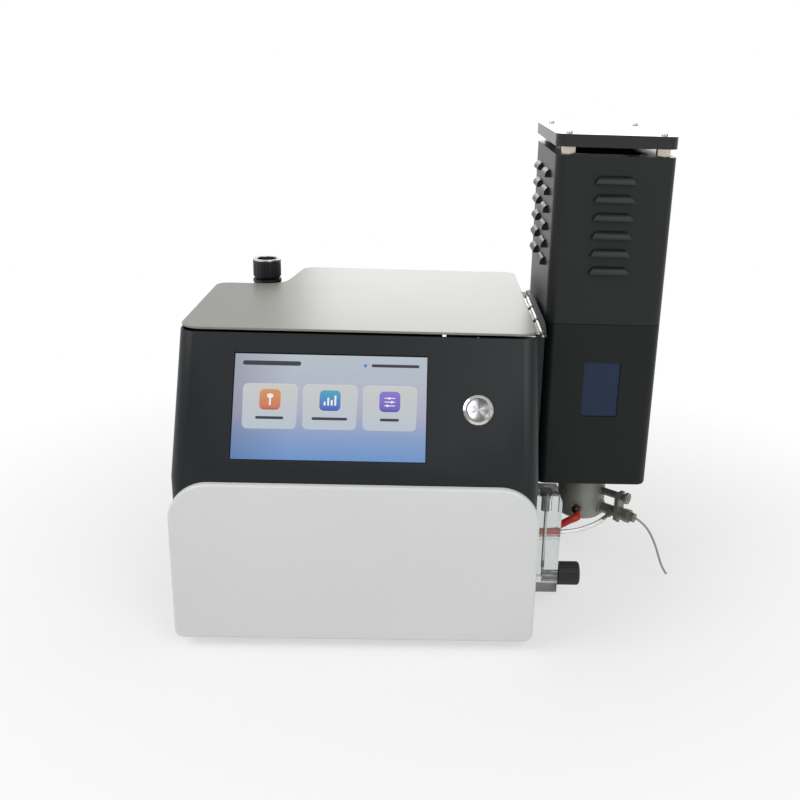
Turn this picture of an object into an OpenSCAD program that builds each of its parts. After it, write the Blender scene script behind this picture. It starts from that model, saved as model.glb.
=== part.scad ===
// Bench flame photometer: instrument case with a touch screen, burner tower on its right side,
// mixing chamber and nebulizer under the tower, flowmeter on the side wall, regulator behind.
// Millimetres. +Z is up, the front faces -Y. The origin is on the bench, under the middle of the object.

/* [Case] */
// Width of the dark housing
body_w = 290; // [270:1:310]
// Depth from the front cover to the rear panel
body_d = 307.4; // [290:1:330]
// Height of the case above its feet
case_h = 244.9; // [225:1:265]
// Height of the rubber feet
foot_h = 8; // [5:1:14]
// Radius of a rubber foot
foot_r = 9; // [7:0.5:12]
// Wall of the housing
sheet = 2; // [1:0.5:3]
// Radius of the housing's upright front edges
edge_r = 14; // [8:1:20]
// Lean of the front panel from upright
panel_tilt = 28.5; // [20:0.5:34]
// Depth of the rear-left recess
notch_d = 80.5; // [70:0.5:90]
// Width of the rear-left recess at its rear
notch_w = 73; // [66:1:84]
// Radius of the left rear corner of the case
rear_r = 11; // [6:1:16]
// Radius of the inner bend of the recess
bend_r = 22; // [12:1:28]

/* [Front cover] */
// How far the front cover stands in front of the housing
front_step = 5.6; // [4:0.2:9]
// How far the front cover stands out past each side
front_lip = 1; // [0.5:0.5:3]
// Radius of its upper corners
front_r = 32; // [20:1:40]
// Radius of its lower corners
front_foot_r = 7; // [4:1:12]
// Wall of the front cover
front_wall = 2; // [1.5:0.5:3]

/* [Top cover] */
// Thickness of the top cover
top_t = 2; // [1.5:0.5:3]
// Radius of its front corners
top_r = 17; // [12:1:22]
// Gap between the top cover and the housing's rim
top_gap = 1.6; // [1.4:0.1:3]
// Radius of the hinge knuckles
knuckle_r = 2; // [1.8:0.1:3]
// Radius of the hinge pin
hinge_pin_r = 1; // [0.8:0.1:1.5]
// Length of the hinge
hinge_l = 140; // [110:2:180]
// Length of a fixed knuckle
fixed_knuckle_l = 8; // [6:1:14]
// Thickness of the hinge leaves
leaf_t = 1.2; // [1:0.1:1.6]

/* [Screen and button] */
// Width of the display's lit area
screen_w = 154.1; // [120:0.1:160]
// Height of the display's lit area
screen_h = 85.9; // [70:0.1:90]
// Place of the display's middle, left of the case's middle
screen_x = 21.8; // [10:0.1:30]
// Distance from the foot of the sloping panel to the display
panel_foot = 17.85; // [14:0.05:24]
// Distance from the display to the head of the sloping panel
panel_head = 19.7; // [16:0.1:26]
// Rim of the touch glass behind the panel
glass_rim = 5; // [3:0.5:8]
// Thickness of the touch glass
glass_t = 1.8; // [1:0.1:3]
// Thickness of the display module
display_t = 7; // [5:0.5:10]
// Distance from the case's right side to the button's middle
button_in = 49.4; // [40:0.1:52]
// Radius of the button's bezel
bezel_r = 12.5; // [11.8:0.1:15]
// Height of the bezel
bezel_t = 2.2; // [1.5:0.1:3]
// Radius of the button's threaded barrel
barrel_r = 10.9; // [10.5:0.1:11.4]
// Length of the barrel behind the panel
barrel_l = 24; // [18:1:34]
// Radius of the button's cap
cap_r = 9; // [7:0.1:9.4]
// Travel of the button
button_travel = 3; // [1:0.5:4]

/* [Tower] */
// Width of the burner tower
tower_w = 101.2; // [94:0.1:110]
// Depth of the tower
tower_d = 145.4; // [138:0.1:160]
// Height of the lower housing
lower_h = 151.9; // [140:0.1:160]
// Height of the upper housing
upper_h = 143; // [130:0.5:160]
// Height of the tower's floor above the bench
tower_z = 93.8; // [88:0.1:100]
// Distance from the front cover's face to the tower's front
tower_y = 128.6; // [120:0.1:136]
// Wall of the tower's sheet metal
tower_wall = 1.5; // [1:0.1:2.5]
// Radius of the tower's upright front edges
tower_r = 9; // [6:0.5:12]
// Radius of its upright rear edges
tower_rear_r = 3; // [2:0.5:12]
// Gap between the lower and the upper housing
seam = 0.4; // [0.2:0.1:1]
// Width of the folded flange at the tower's mouth
flange_w = 20; // [18:0.5:24]
// Length of a louvre
louvre_l = 34.4; // [30:0.1:40]
// Height of a louvre
louvre_h = 6.4; // [5.6:0.1:11]
// How far a louvre stands out
louvre_out = 5; // [3:0.5:7]
// Spacing of the louvres
louvre_pitch = 15.2; // [12:0.1:18]
// Number of louvres in a column
louvre_n = 6; // [3:1:7]
// Distance from the tower's mouth to the top louvre's foot
louvre_drop = 22.1; // [20:0.1:40]
// Spacing of the two louvre columns on a side
louvre_cols = 57; // [50:1:66]
// How far the side louvres stand behind the tower's middle
louvre_back = 5.7; // [0:0.1:10]
// Distance from the tower's left side to the blue window's middle
window_in = 52.6; // [46:0.1:56]
// Width of the blue window
window_w = 32; // [24:1:40]
// Height of the blue window
window_h = 50.5; // [36:0.5:60]
// Height of the window's middle above the tower's floor
window_up = 92; // [80:0.1:100]
// Rim of the window glass behind the opening
window_rim = 5; // [4:0.5:8]
// Thickness of the window glass
window_t = 2; // [1:0.5:3]

/* [Lid] */
// Gap between the tower's mouth and the lid
lid_gap = 7.1; // [4:0.1:12]
// Width of the lid
lid_w = 101.2; // [90:0.1:108]
// Depth of the lid's folded rim
lid_h = 10.2; // [8:0.1:16]
// How far the lid stands in front of the tower and behind it
lid_over = 5.7; // [2:0.1:10]
// Distance from the tower's side to a lid screw
screw_in_x = 11; // [10:0.5:13]
// Distance from the tower's front or rear to a lid screw
screw_in_y = 9.5; // [9:0.5:12]
// Width across the flats of a lid standoff
standoff_af = 11; // [10:0.5:13]
// Radius of the lid screws
lid_screw_r = 1.5; // [1.2:0.1:2]

/* [Burner] */
// Distance from the tower's left side to the burner's axis
burner_in_x = 49.6; // [47:0.1:54]
// Distance from the tower's front to the burner's axis
burner_in_y = 41.4; // [38:0.1:48]
// Radius of the mixing chamber
chamber_r = 22.5; // [20:0.5:24]
// Wall of the mixing chamber
chamber_wall = 3; // [2:0.5:4]
// Height of the chamber below the tower's floor
chamber_h = 44.7; // [43:0.1:50]
// Radius of the burner head
head_r = 13; // [11:0.5:15]
// Radius of the inner chimney
chimney_r = 32; // [30:0.5:34]
// Height of the inner chimney
chimney_h = 270; // [240:1:280]
// Wall of the inner chimney
chimney_wall = 1.2; // [0.8:0.1:2]
// Height of the optical axis above the tower's floor
optic_up = 92; // [84:0.1:98]

/* [Nebulizer] */
// Turn of the nebulizer to the front, from the right
neb_turn = 40.5; // [36:0.5:48]
// Height of the nebulizer's axis above the bench
neb_z = 59.5; // [58:0.1:62]
// Radius of the nebulizer's body
neb_r = 5; // [3.5:0.1:5.4]
// Distance from the chamber's axis to the far face of the nebulizer's nut
neb_reach = 59.4; // [58.6:0.1:64]
// Height of the clamp stud above the nebulizer's axis
stud_up = 17; // [15.5:0.5:19]
// Radius of the clamp stud's sleeve
stud_r = 3.4; // [2.4:0.1:3.8]
// Thickness of the clamp yoke
yoke_t = 4; // [3:0.5:5]
// Width of the clamp yoke
yoke_w = 12; // [10:0.5:14]
// Radius of the knurled clamp knob
clamp_knob_r = 5.4; // [4.5:0.1:6.5]
// Diameter of the sample capillary
capillary_d = 2; // [1.4:0.1:2.4]
// Diameter of the clear air hose
air_hose_d = 4.6; // [4.2:0.1:6]
// Diameter of the red gas hose
gas_hose_d = 7; // [6:0.5:9]

/* [Flowmeter] */
// Width of the flowmeter block, along the case's side
flow_w = 27; // [24:1:32]
// How far the block stands out from the side wall
flow_out = 27.4; // [26:0.1:34]
// Height of the block
flow_h = 92; // [84:1:100]
// Height of the block's underside above the bench
flow_z = 20; // [12:1:26]
// Distance from the front cover's face to the block
flow_y = 62; // [54:1:68]
// Radius of the float's tube
flow_bore_r = 1.5; // [1.3:0.1:3]
// Height of the valve above the block's underside
valve_up = 11.6; // [11:0.1:16]
// Radius of the valve knob
valve_knob_r = 10.4; // [9:0.1:11]
// Length of the valve knob
valve_knob_l = 18.8; // [14:0.1:20]
// Radius of the valve stem
valve_stem_r = 3.8; // [2.4:0.1:4.2]

/* [Regulator] */
// Width of the regulator's body
reg_w = 36; // [32:1:40]
// Distance from the case's left side to the regulator's axis
reg_in_x = 40.5; // [38:0.5:43]
// Distance from the recess's front wall to the regulator's axis
reg_in_y = 38.1; // [35:0.1:43]
// Radius of the regulator's knob
reg_knob_r = 13.5; // [12:0.1:15]
// Height of the regulator's knob
reg_knob_h = 19.6; // [17:0.1:26]
// How far the knob's top stands above the case
reg_knob_up = 16.7; // [14:0.1:26]

/* [Rear] */
// Side of the square fan
fan_w = 60; // [50:1:60]
// Depth of the fan
fan_t = 25; // [20:1:30]
// Distance from the case's right side to the fan's axis
fan_in = 57; // [50:1:62]
// Height of the fan's axis above the bench
fan_z = 170; // [150:1:190]

/* [Clearances] */
// Play between fixed parts
play = 0.2; // [0.1:0.05:0.4]
// Play of moving parts at rest
gap = 0.3; // [0.25:0.05:0.4]
// Radial play of a running fit
run = 0.05; // [0.03:0.01:0.08]

/* [Hidden] */
$fn = 48;

// Case heights and edges
half_w = body_w / 2;
case_z = foot_h + case_h;
front_z = case_z - (panel_foot + screen_h + panel_head) * cos(panel_tilt);
panel_row = panel_foot + screen_h / 2;
button_x = half_w - button_in;
rim_z = case_z - top_t - top_gap;
lean = tan(panel_tilt);
panel_y_top = front_step + (case_z - front_z) * lean;
notch_y = body_d - notch_d;
notch_lean = 11;
split_left = notch_y - rear_r - 10;
split_right = body_d - 12;
floor_t = 2;
floor_z = foot_h + floor_t;
arc_n = 8;
tiny = 0.01;

// Hinge of the top cover
top_edge_in = 1.5;
hinge_x = half_w + 2.6;
hinge_z = case_z - top_t;
hinge_y = panel_y_top + 3;
moving_knuckles = 3;
hinge_pitch = (hinge_l - fixed_knuckle_l) / moving_knuckles;
leaf_reach = 20;
knuckle_l = hinge_pitch - fixed_knuckle_l - 2 * gap;
web_in = hinge_pin_r + 3 * run;

// Plate that carries the tower
plate_x1 = half_w + 9.2;
plate_y0 = tower_y - 20;
plate_y1 = tower_y + tower_d - 34;
leaf_slope = 3.5;
leaf_slope_l = 40;
plate_z0 = 130;
plate_z1 = hinge_z - leaf_t;

// Tower
spacer = 2.8;
tower_x = plate_x1 + spacer;
tower_x1 = tower_x + tower_w;
tower_y1 = tower_y + tower_d;
floor_top = tower_z + tower_wall;
floor_bend = 2.5;
seam_z = tower_z + lower_h;
mouth_z = seam_z + upper_h;
lid_z = mouth_z + lid_gap;
lid_top_z = lid_z + lid_h;
lid_x0 = tower_x - 1.2;
lid_wall = 1.5;
standoff_h = lid_gap + lid_h - lid_wall;
lid_screw_l = 10;
louvre_wall = 1.2;
louvre_taper = 4;
louvre_bend = 5;
lid_head_r = 3;
lid_head_h = 1.8;
window_x = tower_x + window_in;
window_z = tower_z + window_up;
optic_z = tower_z + optic_up;
lens_tube_r = 15;
lens_tube_x0 = half_w - 25;
lens_r = 12;
lens_t = 5;
lens_seat_x = tower_x - 8;
tube_out = 2;
pad_r = 7;

// Burner and chamber
burner_x = tower_x + burner_in_x;
burner_y = tower_y + burner_in_y;
chamber_z = tower_z - chamber_h;
neck_r = 10;
neck_h = 14;
head_h = 34;
head_z = tower_z + tower_wall + neck_h;
boss_reach = 1;
boss_x0 = chamber_r - 4;
neb_x0 = chamber_r + boss_reach;
drain_z = chamber_z + 9;
drain_l = 16;
igniter_x = -21;
igniter_y = 8;
igniter_h = 56;
igniter_r = 3;
spark_gap_h = 2;
spark_l = 11;
wire_r = 0.8;

// Nebulizer, along its own axis from the chamber's
yoke_x = 40;
yoke_up = 3.4;
yoke_down = 6;
nut_l = 5;
nut_r = 6.4;
spigot_r = 3;
stud_thread_r = 1.8;
stud_tip = yoke_x + yoke_t + 8;
barb_x = 35.9;
barb_l = 17;
barb_r = 1.8;
barb_droop = 8;
flange_x1 = yoke_x + yoke_t + 5;
nut_x0 = flange_x1 + gap;
tip_x0 = nut_x0 + nut_l;
spigot_x1 = neb_reach - 4;
clamp_neck_l = 4;
clamp_disc_t = 3;

// Gas inlet elbow on the chamber
elbow_turn = -107.6;
elbow_z = 61;
elbow_out = 5.3;
elbow_r = 4.2;

// Hose ends on the case's right wall: distance from the front, height and barb radius
gas_barb_r = 3;
air_barb_r = 1.8;
gas_fit_y = tower_y + 2.4;
air_fit_y = tower_y - 10.6;
gas_fit_z = 49;
air_fit_z = 50;
fit_out = 14;
fit_thread_r = 4;
fit_af = 10;
side_fits = [[gas_fit_y, gas_fit_z, gas_barb_r], [air_fit_y, air_fit_z, air_barb_r]];
fit_x1 = half_w + fit_out;

// Ends of the elbow's and the nebulizer's barbs, and the ways they point
elbow_way = [0.05, -0.97, -0.24] / norm([0.05, -0.97, -0.24]);
elbow_barb_l = 6.6;
elbow_centre = [
    burner_x + (chamber_r + elbow_out) * cos(elbow_turn),
    burner_y + (chamber_r + elbow_out) * sin(elbow_turn),
    elbow_z
];
gas_start = elbow_centre + elbow_barb_l * elbow_way;
neb_way = [cos(neb_turn), -sin(neb_turn), 0];
barb_way = [
    -sin(neb_turn) * cos(barb_droop), -cos(neb_turn) * cos(barb_droop), -sin(barb_droop)
];
air_start = [burner_x, burner_y, neb_z] + barb_x * neb_way + barb_l * barb_way;
tip_start = [burner_x, burner_y, neb_z] + spigot_x1 * neb_way;

// Routes of the hoses. A hose's bends are given by hand, each as the share of its way from one
// fitting to the other and the sag from the straight line; the capillary's from its nut.
function sagging(from, to, bends) = [for (b = bends) from + b[0] * (to - from) + [b[1], b[2], b[3]]];

gas_end = [fit_x1, gas_fit_y, gas_fit_z];
air_end = [fit_x1, air_fit_y, air_fit_z];
gas_route = concat(
    [gas_start, gas_start + 3 * elbow_way],
    sagging(gas_start, gas_end, [
        [0.03, 0.1, -4.6, -0.5], [0.1, -0.2, -5.6, -0.4], [0.2, -0.1, -5.2, -1],
        [0.3, -0.1, -4.5, -2.4], [0.41, -0.1, -3.7, -3.6], [0.54, -0.2, -2.8, -3.9],
        [0.71, 0, -1.8, -2.8]
    ]),
    [gas_end + [4, 0, 0], gas_end]
);
air_route = concat(
    [air_start, air_start + 3 * barb_way],
    sagging(air_start, air_end, [
        [0.08, -0.2, -3, -1], [0.15, -0.1, -4, -1.8], [0.25, 0, -5, -2.4], [0.35, 0.2, -6, -2.7],
        [0.44, -0.1, -6.5, -2.8], [0.54, 0.3, -6.3, -2.4], [0.64, -0, -5.4, -1.9],
        [0.77, 0.3, -3.6, -1.3]
    ]),
    [air_end + [4, 0, 0], air_end]
);
capillary_route = concat(
    [tip_start, tip_start + 6 * neb_way],
    [for (b = [
        [7, -5.2, -1.3], [10, -6, -3.5], [13.2, -6.6, -6.7], [16.4, -7.2, -10.7],
        [19.4, -7.8, -15.7], [22, -8.3, -20.9], [24.3, -8.8, -26.3], [26.4, -9.2, -32.1],
        [28.4, -9.6, -37.7], [30.4, -10.1, -43.1], [33, -10.7, -48.3], [36.2, -11.4, -53.1]
    ]) tip_start + b]
);
hose_sides = 10;
capillary_sides = 8;

// Flowmeter
flow_x1 = half_w + flow_out;
flow_axis_x = half_w + 15;
flow_axis_y = flow_y + flow_w / 2;
flow_top = flow_z + flow_h;
plug_h = 4;
plug_collar_h = 13;
plug_r = 5.6;
collar_r = 4.6;
valve_z = flow_z + valve_up;
bore_z0 = valve_z + 8;
float_h = 6;
float_play = 0.4;
bush_r = 5.5;
bush_l = 13;
knob_x0 = flow_x1 + 1.8;
duct_r = 1;
corner_cut = 5;
grip_n = 24;
grip_r = 0.9;

// Regulator
reg_x = half_w - reg_in_x;
reg_y = notch_y + reg_in_y;
reg_body_h = 52;
reg_knob_z = case_z + reg_knob_up - reg_knob_h;
reg_stem_r = 4;
reg_bonnet_r = 13;
reg_bonnet_h = 17;
reg_nut_h = 3.2;
reg_bonnet_z = reg_knob_z - gap - reg_bonnet_h;
reg_body_z = reg_bonnet_z - reg_body_h;
reg_bowl_r = 15;
reg_bowl_h = 62;
reg_ring_h = 1.6;
arm_w = 18;
arm_h = 14;
port_r = 4.85;

// Rear fittings
inlet_x = 30;
inlet_z = 60;
inlet_w = 28;
inlet_h = 22;
rocker_w = 13;
rocker_x = inlet_x - inlet_w / 2 - rocker_w / 2 - 4;
rocker_h = 19;
inlet_depth = 22;
inlet_lip = 2.5;
rocker_depth = 12;
rocker_wall = 1.2;
rocker_tilt = 10;
pivot_y = body_d + 0.5;
pivot_r = 1;
fan_bore_r = fan_w / 2 - 2;
fan_slots = 3;
fan_slot_pitch = 7.5;
fan_slot_w = 4;
fan_hub_r = 12;
fan_shaft_r = 1.5;
fan_x = half_w - fan_in;
fan_y0 = body_d - sheet - fan_t;
strut_t = 3;
blade_n = 7;
gas_in_x = half_w - 45;
gas_in_z = 60;

// Feet, boards and the parts inside the case
foot_in = 30;
foot_places = [
    [foot_in - half_w, 38], [half_w - foot_in, 38],
    [foot_in - half_w, notch_y - 24], [half_w - foot_in, body_d - 38]
];
foot_screw_r = 1.9;
foot_head_r = 3.6;
foot_head_z = 1.5;
foot_head_h = 2.5;
board_posts = [25 - half_w, 60, 30, 150];
board_rim = 6;
board_t = 1.6;
board_z = 22;
post_r = 3.5;
chip = [16, 16, 2];
chip_pitch = 32;
plug_row = [24, 8, 9];
plug_pitch = 40;
supply_at = [-55, body_d - 75.4];
supply_box = [90, 50, 32];
supply_slot = [5, 34, 4];
valve_at = [half_w - 53, body_d - 85.4];
valve_box = [30, 36, 24];
valve_coil_r = 13;
valve_coil_h = 30;
coil_at = [half_w - 95, body_d - 85.4];
coil_box = [28, 44, 30];
coil_post_r = 6;
coil_post_h = 12;
block_x0 = half_w - 75;
block_side = 22;
post_side = 12;
filter_r = 5;
filter_t = 5;
filter_step = 13;
filter_depth = 16;
cap_depth = 5;
cap_up = 0.6;
cap_stem_r = 2;
cap_stem_l = 8;
nut_af = 27;
nut_t = 4;

// Place of the case in the object's own frame
rear_reach = 22;
left_reach = half_w + front_lip;
right_reach = tower_x1 + louvre_out;
body_x = (left_reach - right_reach) / 2;
body_y = -(body_d + rear_reach) / 2;

module at_case()
    translate([body_x, body_y, 0])
        children();

// Rounded outlines in plan

function unit(v) = v / norm(v);

function left_normal(a, b) =
    let (u = unit(b - a)) [-u[1], u[0]];

function moved_corner(a, b, c, e) =
    let (m = left_normal(a, b), n = left_normal(b, c))
    b + e * (m + n) / (1 + m * n);

function inset(p, e) =
    let (k = len(p))
    [for (i = [0:k - 1]) moved_corner(p[(i + k - 1) % k], p[i], p[(i + 1) % k], e)];

function fillet(a, b, c, r) =
    let (
        u = unit(a - b),
        v = unit(c - b),
        half = acos(u * v) / 2,
        p = b + u * r / tan(half),
        q = b + v * r / tan(half),
        centre = b + unit(u + v) * r / sin(half),
        from = atan2(p[1] - centre[1], p[0] - centre[0]),
        to = atan2(q[1] - centre[1], q[0] - centre[0]),
        turn = (to - from + 900) % 360 - 180
    )
    [for (i = [0:arc_n])
        centre + r * [cos(from + turn * i / arc_n), sin(from + turn * i / arc_n)]];

function rounded(p, radii) =
    let (k = len(p))
    [for (i = [0:k - 1])
        each radii[i] == 0
            ? [p[i]]
            : fillet(p[(i + k - 1) % k], p[i], p[(i + 1) % k], radii[i])];

// A hollow bend grows as its outline moves in, a round corner shrinks
function grown(r, e) = r < 0 ? -r + e : max(r - e, 0.3);

function box_corners(x0, y0, x1, y1) = [[x0, y0], [x1, y0], [x1, y1], [x0, y1]];

function case_corners(front_y) = [
    [-half_w, front_y], [half_w, front_y], [half_w, body_d],
    [-half_w + notch_w, body_d], [-half_w + notch_w - notch_lean, notch_y], [-half_w, notch_y]
];

function case_outline(front_y, corner_r, e) =
    rounded(
        inset(case_corners(front_y), e),
        [for (r = [corner_r, corner_r, rear_r, rear_r, -bend_r, rear_r]) grown(r, e)]
    );

module box_outline(x0, y0, x1, y1, r)
    polygon(rounded(box_corners(x0, y0, x1, y1), [r, r, r, r]));

// A thin level slice of the housing's block, open to the rear
module housing_slice(z, front_y, back_y, side, r)
    translate([0, 0, z])
        linear_extrude(tiny)
            polygon(rounded(box_corners(-side, front_y, side, back_y), [r, r, 0, 0]));

module housing_block(e, z0, z1, back_y) {
    knee_z = front_z - e * (1 / cos(panel_tilt) - 1) / lean;
    front_y = front_step + e;
    hull() {
        housing_slice(z0, front_y, back_y, half_w - e, edge_r - e);
        housing_slice(knee_z, front_y, back_y, half_w - e, edge_r - e);
        housing_slice(z1 - tiny, front_y + (z1 - knee_z) * lean, back_y, half_w - e, edge_r - e);
    }
}

// Places on the sloping panel: x across, y up the slope, z out of it
module on_panel(x, y)
    translate([0, front_step, front_z])
        rotate([90 - panel_tilt, 0, 0])
            translate([x, y, 0])
                children();

module across(x, y, z)
    translate([x, y, z])
        rotate([0, 90, 0])
            children();

module backward(x, y, z)
    translate([x, y, z])
        rotate([-90, 0, 0])
            children();

module ring(r_out, r_in, h)
    difference() {
        cylinder(r = r_out, h = h);
        translate([0, 0, -1])
            cylinder(r = r_in, h = h + 2);
    }

module hexagon(af, h)
    cylinder(r = af / sqrt(3), h = h, $fn = 6);

// Four places at the corners of a rectangle
module at_corners(x0, y0, x1, y1)
    for (x = [x0, x1], y = [y0, y1])
        translate([x, y, 0])
            children();

// Case

module base_tray() color("dimgray") at_case() {
    difference() {
        translate([0, 0, foot_h])
            linear_extrude(floor_t)
                polygon(case_outline(front_step, edge_r, sheet + play));
        for (p = foot_places)
            translate([p[0], p[1], foot_h - 1])
                cylinder(r = foot_screw_r + play, h = floor_t + 2);
    }
    translate([0, 0, floor_z])
        at_corners(board_posts[0], board_posts[1], board_posts[2], board_posts[3])
            cylinder(r = post_r, h = board_z - floor_z);
}

module feet() color("black") at_case()
    for (p = foot_places)
        translate([p[0], p[1], 0])
            difference() {
                union() {
                    cylinder(r1 = foot_r - 1, r2 = foot_r, h = 1.5);
                    translate([0, 0, 1.5])
                        cylinder(r = foot_r, h = foot_h - 1.5);
                }
                translate([0, 0, -1])
                    cylinder(r = foot_head_r + play, h = foot_head_z + foot_head_h + 1);
                cylinder(r = foot_screw_r + play, h = foot_h + 1);
            }

module foot_screws() color("silver") at_case()
    for (p = foot_places)
        translate([p[0], p[1], 0]) {
            translate([0, 0, foot_head_z])
                cylinder(r = foot_head_r, h = foot_head_h);
            translate([0, 0, foot_head_z + foot_head_h])
                cylinder(r = foot_screw_r, h = floor_z + 2 - foot_head_z - foot_head_h);
        }

module housing() color([0.18, 0.2, 0.22]) at_case()
    difference() {
        housing_block(0, foot_h, rim_z, split_right);
        housing_block(sheet, foot_h - 1, rim_z + 1, split_right + 1);
        translate([-half_w - 1, split_left, foot_h - 1])
            cube([half_w, body_d, case_h + 2]);
        on_panel(-screen_x - screen_w / 2, panel_row - screen_h / 2)
            translate([0, 0, -2 * sheet])
                cube([screen_w, screen_h, 4 * sheet]);
        on_panel(button_x, panel_row)
            translate([0, 0, -3 * sheet])
                cylinder(r = barrel_r + play, h = 6 * sheet);
        across(half_w - 2 * sheet, burner_y, optic_z)
            cylinder(r = lens_tube_r + play, h = 4 * sheet);
        for (p = side_fits)
            across(half_w - 2 * sheet, p[0], p[1])
                cylinder(r = fit_thread_r + play, h = 4 * sheet);
    }

module front_slab(e, y0, y1)
    translate([0, y1, 0])
        rotate([90, 0, 0])
            linear_extrude(y1 - y0)
                polygon(rounded(
                    box_corners(-left_reach + e, foot_h + e, left_reach - e, front_z - e),
                    [front_foot_r - e / 2, front_foot_r - e / 2, front_r - e, front_r - e]
                ));

module front_cover() color("gainsboro") at_case()
    difference() {
        hull() {
            front_slab(0, 2.6, front_step);
            front_slab(0.75, 0.75, front_step);
            front_slab(2.6, 0, front_step);
        }
        front_slab(front_wall + 0.6, front_wall, front_step + 1);
    }

module rear_panel() color([0.18, 0.2, 0.22]) at_case()
    difference() {
        translate([0, 0, foot_h])
            linear_extrude(rim_z - foot_h)
                difference() {
                    polygon(case_outline(front_step, edge_r, 0));
                    polygon(case_outline(front_step, edge_r, sheet));
                    translate([-half_w - 1, -1])
                        square([half_w + 1, split_left + 1]);
                    translate([-tiny, -1])
                        square([half_w + 1, split_right + 1]);
                }
        for (i = [-fan_slots:fan_slots])
            translate([fan_x + i * fan_slot_pitch, body_d, fan_z])
                cube([
                    fan_slot_w, 4 * sheet,
                    2 * sqrt(pow(fan_bore_r, 2) - pow(i * fan_slot_pitch, 2))
                ], center = true);
        translate([inlet_x - inlet_w / 2 - play, body_d - 2 * sheet, inlet_z - inlet_h / 2 - play])
            cube([inlet_w + 2 * play, 4 * sheet, inlet_h + 2 * play]);
        translate([rocker_x - rocker_w / 2 - play, body_d - 2 * sheet, inlet_z - rocker_h / 2 - play])
            cube([rocker_w + 2 * play, 4 * sheet, rocker_h + 2 * play]);
        backward(gas_in_x, body_d - 2 * sheet, gas_in_z)
            cylinder(r = fit_thread_r + play, h = 4 * sheet);
    }

module top_cover() color("lightgray") at_case()
    translate([0, 0, case_z - top_t])
        linear_extrude(top_t)
            intersection() {
                polygon(case_outline(panel_y_top, top_r, 0));
                translate([-half_w - 1, 0])
                    square([body_w + 1 - top_edge_in, body_d + 1]);
            }

// A knuckle of the hinge with its bore, from y on
module knuckle(length, y)
    difference() {
        backward(hinge_x, y, hinge_z)
            cylinder(r = knuckle_r, h = length);
        backward(hinge_x, y - 1, hinge_z)
            cylinder(r = hinge_pin_r + run, h = length + 2);
    }

module hinge_leaf_moving() color("silver") at_case() {
    for (i = [0:moving_knuckles - 1]) {
        y = hinge_y + fixed_knuckle_l + gap + i * hinge_pitch;
        knuckle(knuckle_l, y);
        translate([half_w - leaf_reach, y, hinge_z - leaf_t])
            cube([leaf_reach + hinge_x - half_w - web_in, knuckle_l, leaf_t]);
    }
    translate([half_w - leaf_reach, hinge_y, hinge_z - leaf_t])
        cube([leaf_reach - sheet - top_edge_in, hinge_l, leaf_t]);
}

module hinge_leaf_fixed() color([0.15, 0.16, 0.17]) at_case() {
    for (i = [0:moving_knuckles]) {
        y = hinge_y + i * hinge_pitch;
        knuckle(fixed_knuckle_l, y);
        translate([hinge_x + web_in, y, hinge_z - leaf_t])
            cube([plate_x1 - hinge_x - web_in - leaf_slope, fixed_knuckle_l, leaf_t]);
    }
    translate([0, 0, hinge_z - leaf_t])
        linear_extrude(leaf_t)
            polygon([
                [hinge_x + knuckle_r + gap, hinge_y],
                [plate_x1 - leaf_slope, hinge_y],
                [plate_x1, hinge_y + leaf_slope_l],
                [plate_x1, hinge_y + hinge_l],
                [hinge_x + knuckle_r + gap, hinge_y + hinge_l]
            ]);
}

module hinge_pin() color("silver") at_case()
    backward(hinge_x, hinge_y, hinge_z)
        cylinder(r = hinge_pin_r, h = hinge_l);

// Plate between the case and the tower, which carries the tower on four spacers
module mount_plate() color([0.12, 0.13, 0.14]) at_case()
    difference() {
        union() {
            translate([half_w, plate_y0, plate_z0])
                cube([plate_x1 - half_w, plate_y1 - plate_y0, hinge_z - knuckle_r - 1 - plate_z0]);
            translate([hinge_x + knuckle_r + gap, plate_y0, plate_z1 - 10])
                cube([plate_x1 - hinge_x - knuckle_r - gap, plate_y1 - plate_y0, 10]);
            for (y = [tower_y + 2 * tower_r, plate_y1 - 12], z = [plate_z0 + 14, seam_z - 12])
                across(plate_x1, y, z)
                    cylinder(r = pad_r, h = spacer);
        }
        across(half_w - 1, burner_y, optic_z)
            cylinder(r = lens_tube_r + play, h = plate_x1 - half_w + 2);
    }

// Screen and button

module touch_glass() color([0.2, 0.3, 0.45]) at_case()
    on_panel(-screen_x - screen_w / 2 - glass_rim, panel_row - screen_h / 2 - glass_rim)
        translate([0, 0, -sheet - glass_t])
            cube([screen_w + 2 * glass_rim, screen_h + 2 * glass_rim, glass_t]);

module display_module() color("darkslategray") at_case()
    on_panel(-screen_x - screen_w / 2 - glass_rim, panel_row - screen_h / 2 - glass_rim)
        translate([0, 0, -sheet - glass_t - display_t])
            cube([screen_w + 2 * glass_rim, screen_h + 2 * glass_rim, display_t]);

module button_body() color("silver") at_case()
    on_panel(button_x, panel_row)
        difference() {
            union() {
                cylinder(r1 = bezel_r, r2 = bezel_r - 0.8, h = bezel_t);
                translate([0, 0, -barrel_l])
                    cylinder(r = barrel_r, h = barrel_l);
                translate([0, 0, -sheet - nut_t])
                    hexagon(nut_af, nut_t);
            }
            translate([0, 0, -cap_depth - button_travel - gap])
                cylinder(r = cap_r + run, h = barrel_l);
            translate([0, 0, -cap_depth - cap_stem_l - button_travel - gap])
                cylinder(r = cap_stem_r + run, h = barrel_l);
        }

module button_cap() color("lightsteelblue") at_case()
    on_panel(button_x, panel_row) {
        translate([0, 0, -cap_depth])
            cylinder(r = cap_r, h = cap_depth + bezel_t + cap_up);
        translate([0, 0, -cap_depth - cap_stem_l])
            cylinder(r = cap_stem_r, h = cap_stem_l);
    }

// Inside the case

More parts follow.
